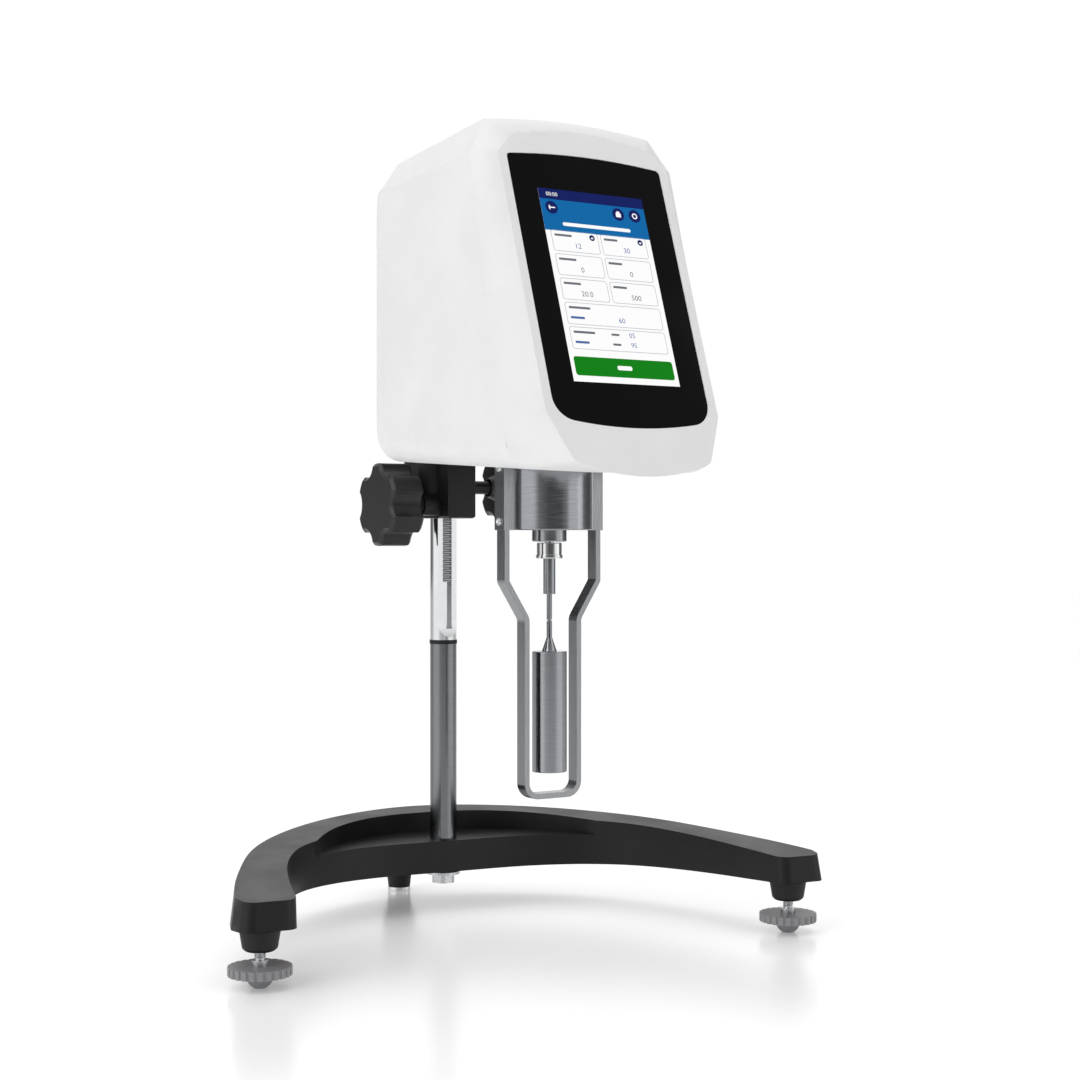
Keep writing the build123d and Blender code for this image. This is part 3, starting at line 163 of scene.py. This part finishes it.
room.links.new(shown.outputs[2], sky.inputs["Color"])
sky.inputs["Strength"].default_value = 0.97

bench_sheet, tree, shader = new_material("bench_sheet", Base_Color=colour("#fbfbfb"), IOR=1.7,
                                         Emission_Color=colour("#ffffff"), Emission_Strength=0.16)
place = add_node(tree, "ShaderNodeTexCoord")
fog = add_node(tree, "ShaderNodeTexNoise", {"Vector": place.outputs["Object"], "Scale": 3.0})
haze = add_node(tree, "ShaderNodeMapRange", {"Value": fog.outputs["Fac"], "To Min": 0.2, "To Max": 0.24})
tree.links.new(haze.outputs["Result"], shader.inputs["Roughness"])
bench_mesh = bmesh.new()
bmesh.ops.create_grid(bench_mesh, x_segments=2, y_segments=2, size=bench_size / 2)
bench = link_mesh("bench", bench_mesh, bench_sheet, None)

# ---- Base casting
# Grey iron cast in sand, fettled and sprayed with black satin enamel. The enamel fills the
# sand's grain to a fine orange peel, rounds every edge and shines softly.
cast_edge = 1.6 * mm
enamel_grain = 1.1 * mm      # orange peel, drawn a little coarse so that it shows
enamel_patch = 28 * mm       # where the spray lies thicker


def softened(node, name, width, body, angle=28, segments=2, flat=0.6):
    """A copy of a CAD node with its edges rounded, which stands for that node."""
    copy = bmesh.new()
    copy.from_mesh(nodes[node].data)
    bmesh.ops.remove_doubles(copy, verts=copy.verts, dist=0.002 * mm)
    bmesh.ops.dissolve_limit(copy, angle_limit=radians(flat), verts=copy.verts, edges=copy.edges)
    copy.normal_update()
    sharp = [e for e in copy.edges if len(e.link_faces) == 2 and e.calc_face_angle() > radians(angle)]
    if width:
        bmesh.ops.bevel(copy, geom=sharp, offset=width, affect="EDGES", segments=segments, profile=0.5,
                        material=-1, clamp_overlap=True)
    for face in copy.faces:
        face.smooth = True
    for edge in copy.edges:
        edge.smooth = not (len(edge.link_faces) == 2 and edge.calc_face_angle() > radians(40))
    piece = link_mesh(name, copy, nodes[node].data.materials[0], body)
    piece.data.materials.clear()
    piece.modifiers.new("even_shading", "WEIGHTED_NORMAL").keep_sharp = True
    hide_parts(node)
    return piece


def grain(tree, size, strength, height, detail=3.0, stretch=(1, 1, 1)):
    """Fine relief of a surface: a noise whose cells have a real size, as a bump."""
    place = add_node(tree, "ShaderNodeTexCoord")
    spread = add_node(tree, "ShaderNodeMapping", {"Vector": place.outputs["Object"], "Scale": stretch})
    cells = add_node(tree, "ShaderNodeTexNoise",
                     {"Vector": spread.outputs["Vector"], "Scale": 1 / size, "Detail": detail})
    relief = add_node(tree, "ShaderNodeBump",
                      {"Height": cells.outputs["Fac"], "Strength": strength, "Distance": height})
    return cells.outputs["Fac"], relief.outputs["Normal"]


def spread_values(tree, source, low, high):
    """Maps a noise, which lies near the middle, to a range of values."""
    scale = add_node(tree, "ShaderNodeMapRange", {"Value": source, "From Min": 0.3, "From Max": 0.7,
                                                  "To Min": low, "To Max": high})
    return scale.outputs["Result"]


def spread_colours(tree, source, low, high):
    """Maps a noise to a blend of two colours."""
    blend = add_node(tree, "ShaderNodeMix", {"Factor": spread_values(tree, source, 0.0, 1.0)},
                     data_type="RGBA")
    blend.inputs[6].default_value = colour(low)
    blend.inputs[7].default_value = colour(high)
    return blend.outputs[2]


cast_enamel, tree, shader = new_material("cast_enamel", Specular_IOR_Level=0.28)
_, relief = grain(tree, enamel_grain, 0.22, 0.06 * mm)
patches, _ = grain(tree, enamel_patch, 0.0, 0.0)
tree.links.new(relief, shader.inputs["Normal"])
tree.links.new(spread_values(tree, patches, 0.36, 0.46), shader.inputs["Roughness"])
tree.links.new(spread_colours(tree, patches, "#161617", "#1c1c1d"), shader.inputs["Base Color"])
base_casting = softened("base_casting", "cast_base", cast_edge, "base")
base_casting.data.materials.append(cast_enamel)

# ---- Feet
# Tapered rubber caps under the casting, and levelling screws of zinc plated steel with
# notched wheels of grey moulded nylon. The rear foot is a cap on a chromed ring.
thread_pitch = 0.8 * mm
thread_r = 2.5 * mm
thread_deep = 0.45 * mm
thread_steps = 24
thread_foot, thread_head = 3.4 * mm, 9.0 * mm    # the bare length, from the stud's lower end
thread_root = 0.1 * mm       # the ridge starts this deep in the stud
cap_edge, wheel_edge, rear_cap_edge = 0.5 * mm, 0.35 * mm, 0.4 * mm


def grained(name, size, strength, height, roughness, shades, detail=3.0, stretch=(1, 1, 1), **sockets):
    """A material whose fine relief also varies its roughness and its shade a little."""
    material, tree, shader = new_material(name, **sockets)
    fine, relief = grain(tree, size, strength, height, detail, stretch)
    tree.links.new(relief, shader.inputs["Normal"])
    tree.links.new(spread_values(tree, fine, *roughness), shader.inputs["Roughness"])
    tree.links.new(spread_colours(tree, fine, *shades), shader.inputs["Base Color"])
    return material


def paint(material, *names):
    """Gives CAD nodes a finished material."""
    for name in names:
        nodes[name].data.materials.clear()
        nodes[name].data.materials.append(material)


# Rubber is dull and nearly black.
rubber = grained("moulded_rubber", 0.5 * mm, 0.2, 0.05 * mm, (0.5, 0.62),
                 ("#161617", "#1e1e1f"), Specular_IOR_Level=0.35)

# Nylon has a soft shine, and a little light goes into it.
nylon = grained("grey_nylon", 0.7 * mm, 0.25, 0.05 * mm, (0.42, 0.54),
                ("#85878a", "#929497"), Subsurface_Weight=0.05)

# Zinc plating is bright and slightly clouded.
zinc = grained("zinc_plate", 0.9 * mm, 0.12, 0.03 * mm, (0.22, 0.34), ("#c6c8ca", "#d4d5d6"), Metallic=1.0)

# Chrome plating mirrors the room.
chrome = grained("chrome_plate", 2.0 * mm, 0.04, 0.02 * mm, (0.05, 0.1), ("#e2e3e5", "#eaebec"), Metallic=1.0)

for side in ("left", "right"):
    cap = softened(f"{side}_leg_cap", f"{side}_cap", cap_edge, "base")
    cap.data.materials.append(rubber)
    wheel = softened(f"{side}_foot_wheel", f"{side}_wheel", wheel_edge, f"{side}_wheel")
    wheel.data.materials.append(nylon)
    paint(zinc, f"{side}_leg_nut", f"{side}_foot_stud")
    low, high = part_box(f"{side}_foot_stud")
    axis_x, axis_y = (low.x + high.x) / 2, (low.y + high.y) / 2
    thread_low, thread_high = low.z + thread_foot, low.z + thread_head
    turns = int((thread_high - thread_low) / thread_pitch)
    ridge = bmesh.new()
    tooth = [ridge.verts.new((axis_x + r, axis_y, thread_low + z)) for r, z in
             ((thread_r - thread_root, 0), (thread_r + thread_deep, thread_pitch / 2),
              (thread_r - thread_root, thread_pitch))]
    edges = [ridge.edges.new(pair) for pair in zip(tooth, tooth[1:])]
    bmesh.ops.spin(ridge, geom=tooth + edges, cent=(axis_x, axis_y, 0), axis=(0, 0, 1),
                   dvec=(0, 0, thread_pitch / thread_steps), angle=2 * pi * turns, steps=turns * thread_steps)
    bmesh.ops.remove_doubles(ridge, verts=ridge.verts, dist=0.01 * mm)
    bmesh.ops.recalc_face_normals(ridge, faces=ridge.faces)
    thread = link_mesh(f"{side}_stud_thread", ridge, zinc, f"{side}_stud")
rear_cap = softened("rear_foot_cap", "rear_cap", rear_cap_edge, "base")
rear_cap.data.materials.append(rubber)
paint(chrome, "rear_foot_ring")

# ---- Column
# A centreless ground steel rod: satin below the black ring, polished above it, where its
# front is milled flat for the rack. Grinding leaves fine rings round it.
grinding_line = 0.35 * mm    # coarser than real grinding, so that it shows
ring_low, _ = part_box("column_ring")
ground_steel, tree, shader = new_material("ground_steel", Metallic=1.0)
place = add_node(tree, "ShaderNodeTexCoord")
lines = add_node(tree, "ShaderNodeMapping", {"Vector": place.outputs["Object"], "Scale": (0.04, 0.04, 1.0)})
rings = add_node(tree, "ShaderNodeTexNoise",
                 {"Vector": lines.outputs["Vector"], "Scale": 1 / grinding_line, "Detail": 4.0})
height = add_node(tree, "ShaderNodeSeparateXYZ", {"Vector": place.outputs["Object"]})
polished = add_node(tree, "ShaderNodeMath", {0: height.outputs["Z"], 1: ring_low.z}, operation="GREATER_THAN")
satin = spread_values(tree, rings.outputs["Fac"], 0.17, 0.22)
bright = spread_values(tree, rings.outputs["Fac"], 0.08, 0.1)
finish = add_node(tree, "ShaderNodeMix", {"Factor": polished.outputs["Value"], "A": satin, "B": bright})
relief = add_node(tree, "ShaderNodeBump",
                  {"Height": rings.outputs["Fac"], "Strength": 0.04, "Distance": 0.02 * mm})
tree.links.new(finish.outputs["Result"], shader.inputs["Roughness"])
tree.links.new(relief.outputs["Normal"], shader.inputs["Normal"])
tones = add_node(tree, "ShaderNodeMix", {"Factor": polished.outputs["Value"]}, data_type="RGBA")
tree.links.new(spread_colours(tree, rings.outputs["Fac"], "#77797b", "#838587"), tones.inputs[6])
tree.links.new(spread_colours(tree, rings.outputs["Fac"], "#d6d7d8", "#dedfe0"), tones.inputs[7])
tree.links.new(tones.outputs[2], shader.inputs["Base Color"])

# Milled steel is grey with blurred reflections.
milled_steel = grained("milled_steel", 0.4 * mm, 0.2, 0.03 * mm, (0.28, 0.4),
                       ("#8f9194", "#a6a8aa"), Metallic=1.0)
paint(ground_steel, "column", "mounting_bar", "pinion_shaft")
paint(milled_steel, "column_rack", "torque_spring")
paint(rubber, "column_ring", "display_gasket")
paint(zinc, "column_washer", "column_bolt", "bar_bolt", "cover_screws", "tension_screw",
      "gear_plate_posts", "board_posts")

# ---- Clamp
# An iron casting machined on its faces and enamelled black like the base. It slides on the
# column; the bush of its pinion and its lock screw are blackened steel.
# Turned bronze is yellow brown and half bright.
bronze = grained("turned_bronze", 0.5 * mm, 0.12, 0.03 * mm, (0.26, 0.38),
                 ("#a8814a", "#bb9258"), Metallic=1.0)
clamp_edge = 0.6 * mm
clamp = softened("clamp_body", "clamp_casting", clamp_edge, "carriage")
clamp.data.materials.append(cast_enamel)
paint(bronze, "tension_pad", "lock_plug")
# Blackened steel is nearly black with a dull metal shine.
blackened = grained("blackened_steel", 0.6 * mm, 0.12, 0.03 * mm, (0.3, 0.42),
                    ("#1b1b1c", "#262627"), Metallic=0.6)
paint(blackened, "pinion_bush", "lock_screw")

# ---- Knobs
# Six-lobed knobs moulded in black phenolic round a steel insert. The mould is polished, so
# they shine a little more than the enamel.
# Phenolic is deep black with soft highlights.
phenolic = grained("black_phenolic", 0.9 * mm, 0.14, 0.05 * mm, (0.34, 0.44), ("#151516", "#1c1c1d"))
knob_edge = 0.8 * mm
for node, body in (("height_knob", "pinion"), ("lock_knob", "lock")):
    knob = softened(node, node + "_moulding", knob_edge, body, angle=40)
    knob.data.materials.append(phenolic)

# ---- Covers
# Two halves injection moulded in white ABS. The mould is spark eroded, which leaves a fine
# matt grain, and the halves meet at a thin parting line.
abs_grain = 1.1 * mm
cover_edge = 0.45 * mm
parting_lean = radians(13.7)
white_abs, tree, shader = new_material("white_abs", Specular_IOR_Level=0.4)
fine, relief = grain(tree, abs_grain, 1.0, 0.22 * mm, detail=2.0)
wide, _ = grain(tree, 40 * mm, 0.0, 0.0)
tree.links.new(relief, shader.inputs["Normal"])
tree.links.new(spread_values(tree, fine, 0.42, 0.52), shader.inputs["Roughness"])
tree.links.new(spread_colours(tree, wide, "#eeeeee", "#f3f3f3"), shader.inputs["Base Color"])
for node, name in (("rear_cover", "rear_shell"), ("front_bezel", "bezel_shell")):
    shell = softened(node, name, cover_edge, "head", angle=35, flat=0.02)
    shell.data.materials.append(white_abs)

# The parting line is a thin dark sheet between the halves: painted shadow for the shade in its groove.
seam_in = 0.15 * mm           # the painted shadow line between the halves lies this deep
seam_half = 0.22 * mm
seam_shadow_sheet = grained("seam_shadow", 0.8 * mm, 0.1, 0.02 * mm, (0.7, 0.8),
                     ("#3c3d3e", "#48494a"), Specular_IOR_Level=0.1)
seam = bmesh.new()
seam.from_mesh(nodes["rear_cover"].data)
bmesh.ops.remove_doubles(seam, verts=seam.verts, dist=0.002 * mm)
seam.normal_update()
parting = Vector((0, -cos(parting_lean), sin(parting_lean)))
reach = max(v.co.dot(parting) for v in seam.verts)
rim = [f for f in seam.faces if all(abs(v.co.dot(parting) - reach) < 0.05 * mm for v in f.verts)]
bmesh.ops.delete(seam, geom=[f for f in seam.faces if f not in set(rim)], context="FACES")
border = bmesh.ops.inset_region(seam, faces=seam.faces[:], thickness=seam_in, use_boundary=True)["faces"]
bmesh.ops.delete(seam, geom=border, context="FACES")
bmesh.ops.translate(seam, vec=-parting * seam_half, verts=seam.verts)
raised = bmesh.ops.extrude_face_region(seam, geom=seam.faces[:], use_keep_orig=True)["geom"]
bmesh.ops.translate(seam, vec=parting * 2 * seam_half,
                    verts=[g for g in raised if isinstance(g, bmesh.types.BMVert)])
bmesh.ops.recalc_face_normals(seam, faces=seam.faces)
line = link_mesh("cover_seam", seam, seam_shadow_sheet, "head")

# ---- Display panel
# A sheet of toughened glass, printed black behind, with the lit screen under its middle. The
# screen is rebuilt as plain fields, bars and numbers.
# The glass is smooth and black, and mirrors little.
panel_glass = grained("black_backed_glass", 30 * mm, 0.02, 0.02 * mm, (0.05, 0.09),
                      ("#060607", "#09090a"), Specular_IOR_Level=0.05)
paint(panel_glass, "display_glass")

screen_wide, screen_high = 64.8 * mm, 108 * mm
screen_up = 1.6 * mm          # screen's middle over the panel's middle
layer = 0.04 * mm             # printed layers stand this far over each other
panel = nodes["display_glass"].data
front_face = max((p for p in panel.polygons if p.normal.y < 0), key=lambda p: p.area)
normal = front_face.normal.copy()
right = Vector((1, 0, 0))
up = normal.cross(right)
panel_low, panel_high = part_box("display_glass")
panel_top = max(v.co.dot(up) for v in panel.vertices)
panel_foot = min(v.co.dot(up) for v in panel.vertices)
centre = (right * (panel_low.x + panel_high.x) / 2 + up * ((panel_top + panel_foot) / 2 + screen_up)
          + normal * max(v.co.dot(normal) for v in panel.vertices))
screen_place = Matrix.Translation(centre) @ Matrix((right, up, normal)).transposed().to_4x4()


def lit(name, code, glow):
    """A part of the lit screen: its colour shines through a faint pixel grid."""
    material, tree, shader = new_material(name, Roughness=0.12, Specular_IOR_Level=0.05,
                                          Emission_Strength=glow)
    cells, _ = grain(tree, 0.6 * mm, 0.0, 0.0)
    shade = add_node(tree, "ShaderNodeMix", {"Factor": spread_values(tree, cells, 0.0, 0.06)},
                     data_type="RGBA")
    shade.inputs[6].default_value = colour(code)
    shade.inputs[7].default_value = colour("#000000")
    shader.inputs["Base Color"].default_value = colour("#050505")
    tree.links.new(shade.outputs[2], shader.inputs["Emission Color"])
    return material


screen_colours = {
    "white": ("#ffffff", 1.0), "navy": ("#0b1c60", 1.0), "blue": ("#0567a8", 1.0), "line": ("#bfc3c9", 1.0),
    "ink": ("#6c7077", 1.0), "value": ("#4a6aa6", 1.0), "green": ("#07800f", 1.0), "mark": ("#ffffff", 1.0),
}
screen_layers = {key: bmesh.new() for key in screen_colours}


def field(key, x, y, width, height, corner, level, frame_wide=0):
    """A round-cornered field. x and y are its middle from the screen's top left, in mm."""
    shape = bmesh.new()
    corners = [shape.verts.new((sx * width / 2, sy * height / 2, 0))
               for sx, sy in ((-1, -1), (1, -1), (1, 1), (-1, 1))]
    shape.faces.new(corners)
    if corner:
        bmesh.ops.bevel(shape, geom=shape.verts[:], offset=corner, affect="VERTICES", segments=6, profile=0.5,
                        material=-1)
    if frame_wide:
        faces = shape.faces[:]
        bmesh.ops.inset_region(shape, faces=faces, thickness=frame_wide, use_boundary=True)
        bmesh.ops.delete(shape, geom=faces, context="FACES")
    move = Matrix.Translation((x - screen_wide / mm / 2, screen_high / mm / 2 - y, level * layer / mm))
    bmesh.ops.transform(shape, matrix=screen_place @ Matrix.Scale(mm, 4) @ move, verts=shape.verts)
    add_shape(key, shape)


def add_shape(key, shape):
    """Adds a finished shape to its colour's layer."""
    mesh = bpy.data.meshes.new("shape")
    shape.to_mesh(mesh)
    shape.free()
    screen_layers[key].from_mesh(mesh)
    bpy.data.meshes.remove(mesh)


def number(key, text, x, y, size, level):
    """A plain number on the screen, made a mesh and then put in its place."""
    curve = bpy.data.curves.new("number", "FONT")
    curve.body = text
    curve.size = size
    curve.align_x = "CENTER"
    curve.align_y = "CENTER"
    curve.resolution_u = 3
    drawn = bpy.data.objects.new("number", curve)
    mesh = bpy.data.meshes.new_from_object(drawn)
    move = Matrix.Translation((x - screen_wide / mm / 2, screen_high / mm / 2 - y, level * layer / mm))
    mesh.transform(screen_place @ Matrix.Scale(mm, 4) @ move)
    screen_layers[key].from_mesh(mesh)
    bpy.data.objects.remove(drawn)
    bpy.data.curves.remove(curve)
    bpy.data.meshes.remove(mesh)


wide_mm, high_mm = screen_wide / mm, screen_high / mm
field("white", wide_mm / 2, high_mm / 2, wide_mm, high_mm, 0, 1)
field("navy", wide_mm / 2, 3.0, wide_mm, 6.0, 0, 2)
field("blue", wide_mm / 2, 15.0, wide_mm, 18.0, 0, 2)
number("mark", "00:00", 8.0, 3.1, 3.2, 3)
for x in (6.4, 47.6, 58.0):
    field("navy", x, 10.8, 7.4, 7.4, 3.69, 3)
field("mark", 6.6, 10.8, 4.0, 0.7, 0.3, 4)
field("mark", 5.2, 10.8, 0.7, 2.6, 0.3, 4)
field("mark", 47.6, 11.2, 3.2, 2.4, 0.3, 4)
field("mark", 47.6, 9.6, 2.0, 1.2, 0.5, 4)
field("mark", 58.0, 10.8, 3.4, 3.4, 1.69, 4, 0.7)
field("mark", 32.4, 19.8, 42.0, 2.0, 0.9, 3)
rows = (
    ("value", (29.6, "12", "30"), True), ("ink", (43.2, "0", "0"), False),
    ("ink", (56.8, "20.0", "500"), False),
)
for key, (middle, first, second), button in rows:
    for x, text, bar in ((17.3, first, 10.5), (47.5, second, 8.5)):
        field("line", x, middle, 28.6, 12.2, 1.6, 2, 0.4)
        field("ink", x - 12.3 + bar / 2, middle - 3.2, bar, 1.3, 0.5, 2)
        number(key, text, x + 1.0, middle + 2.4, 4.2, 2)
        if button:
            field("navy", x + 10.6, middle - 3.2, 3.4, 3.4, 1.69, 3)
            field("mark", x + 10.6, middle - 3.0, 1.5, 0.9, 0.4, 4)
for middle in (70.4, 84.0):
    field("line", wide_mm / 2, middle, 58.8, 12.4, 1.6, 2, 0.4)
    field("ink", 11.8, middle - 3.3, 13.0, 1.3, 0.5, 2)
    field("value", 9.6, middle + 2.3, 8.5, 1.3, 0.5, 2)
number("value", "60", 36.5, 72.8, 4.0, 2)
number("value", "05", 41.0, 80.9, 3.8, 2)
number("value", "95", 41.0, 86.4, 3.8, 2)
field("ink", 30.6, 80.9, 5.0, 1.2, 0.5, 2)
field("ink", 30.6, 86.4, 5.0, 1.2, 0.5, 2)
field("green", wide_mm / 2, 99.4, 60.4, 10.4, 1.6, 2)
field("mark", wide_mm / 2, 99.4, 9.0, 2.4, 0.9, 3)
for key, (code, glow) in screen_colours.items():
    bmesh.ops.recalc_face_normals(screen_layers[key], faces=screen_layers[key].faces)
    for face in screen_layers[key].faces:
        if face.normal.dot(normal) < 0:
            face.normal_flip()
    shown = link_mesh(f"screen_{key}", screen_layers[key], lit(f"screen_{key}_light", code, glow), "head")

# ---- Cup and guard
# The cup is turned from stainless bar and brushed; its two channels and the bent guard strip
# are stainless sheet, held by small round-headed screws.
brush_line = 0.25 * mm       # coarser than real brushing, so that it shows
cup_edge, strip_edge, channel_edge, nut_edge = 0.15 * mm, 0.35 * mm, 0.5 * mm, 0.2 * mm
turned_steel, tree, shader = new_material("brushed_stainless", Metallic=1.0)
place = add_node(tree, "ShaderNodeTexCoord")
lines = add_node(tree, "ShaderNodeMapping", {"Vector": place.outputs["Object"], "Scale": (0.03, 0.03, 1.0)})
rings = add_node(tree, "ShaderNodeTexNoise",
                 {"Vector": lines.outputs["Vector"], "Scale": 1 / brush_line, "Detail": 5.0})
relief = add_node(tree, "ShaderNodeBump",
                  {"Height": rings.outputs["Fac"], "Strength": 0.06, "Distance": 0.02 * mm})
tree.links.new(relief.outputs["Normal"], shader.inputs["Normal"])
tree.links.new(spread_values(tree, rings.outputs["Fac"], 0.13, 0.19), shader.inputs["Roughness"])
tree.links.new(spread_colours(tree, rings.outputs["Fac"], "#8f9194", "#9fa1a5"), shader.inputs["Base Color"])
for node, name, body in (("pivot_cup", "cup_shell", "head"), ("spindle", "measuring_spindle", "measuring")):
    piece = softened(node, name, cup_edge, body)
    piece.data.materials.append(turned_steel)

# Rolled strip has fine lines along it, which stretch its highlights.
sheet_steel = grained("stainless_strip", 0.4 * mm, 0.08, 0.02 * mm, (0.18, 0.28),
                      ("#888a8c", "#9a9c9e"), detail=4.0, stretch=(1.0, 1.0, 0.03), Metallic=1.0)
for node, name, width in (("guard_leg", "guard_strip", strip_edge),
                          ("left_bracket", "left_channel", channel_edge),
                          ("right_bracket", "right_channel", channel_edge)):
    piece = softened(node, name, width, "head")
    piece.data.materials.append(sheet_steel)
nut = softened("coupling_nut", "spindle_nut", nut_edge, "measuring")
nut.data.materials.append(ground_steel)

screw_r, screw_out = 2.2 * mm, 1.3 * mm
screw_profile = (            # shares of the head's radius and height, from the socket's floor to the rim
    (0.0, 0.35), (0.42, 0.35), (0.5, 0.96), (0.72, 0.9), (0.9, 0.62), (1.0, 0.1), (1.0, -0.1),
)
low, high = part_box("bracket_screws")
middle_y = (low.y + high.y) / 2
heads = bmesh.new()
for side, face_x in ((-1, low.x + screw_out), (1, high.x - screw_out)):
    for level in (low.z + screw_r, high.z - screw_r):
        profile = [heads.verts.new((face_x + side * out * screw_out, middle_y, level + r * screw_r))
                   for r, out in screw_profile]
        edges = [heads.edges.new(pair) for pair in zip(profile, profile[1:])]
        bmesh.ops.spin(heads, geom=profile + edges, cent=(face_x, middle_y, level), axis=(1, 0, 0),
                       angle=2 * pi, steps=32)
bmesh.ops.remove_doubles(heads, verts=heads.verts, dist=0.01 * mm)
bmesh.ops.recalc_face_normals(heads, faces=heads.faces)
for face in heads.faces:
    face.smooth = True
screw_heads = link_mesh("guard_screw_heads", heads, zinc, "head")
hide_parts("bracket_screws")

# ---- Inside
# Aluminium plates, brass gears and the boards are out of sight when the covers are on, and
# are finished plainly: milled, cut and coated.
milled_aluminium = grained("milled_aluminium", 0.6 * mm, 0.15, 0.03 * mm, (0.3, 0.42),
                           ("#c9cacc", "#d8d9da"), stretch=(1.0, 0.05, 1.0), Metallic=1.0)
board_mask = grained("solder_mask", 1.5 * mm, 0.2, 0.03 * mm, (0.3, 0.42), ("#1c5a32", "#22683a"))
paint(milled_aluminium, "chassis_plate", "gear_plate")
paint(board_mask, "main_board")
paint(phenolic, "display_module", "disc_sensor", "drive_motor")
paint(ground_steel, "shaft_bearings", "drive_shaft", "pivot_shaft", "spring_carrier", "drive_disc",
      "pivot_disc")
paint(bronze, "drive_gear", "motor_pinion", "spring_collet", "jewel_bearing")
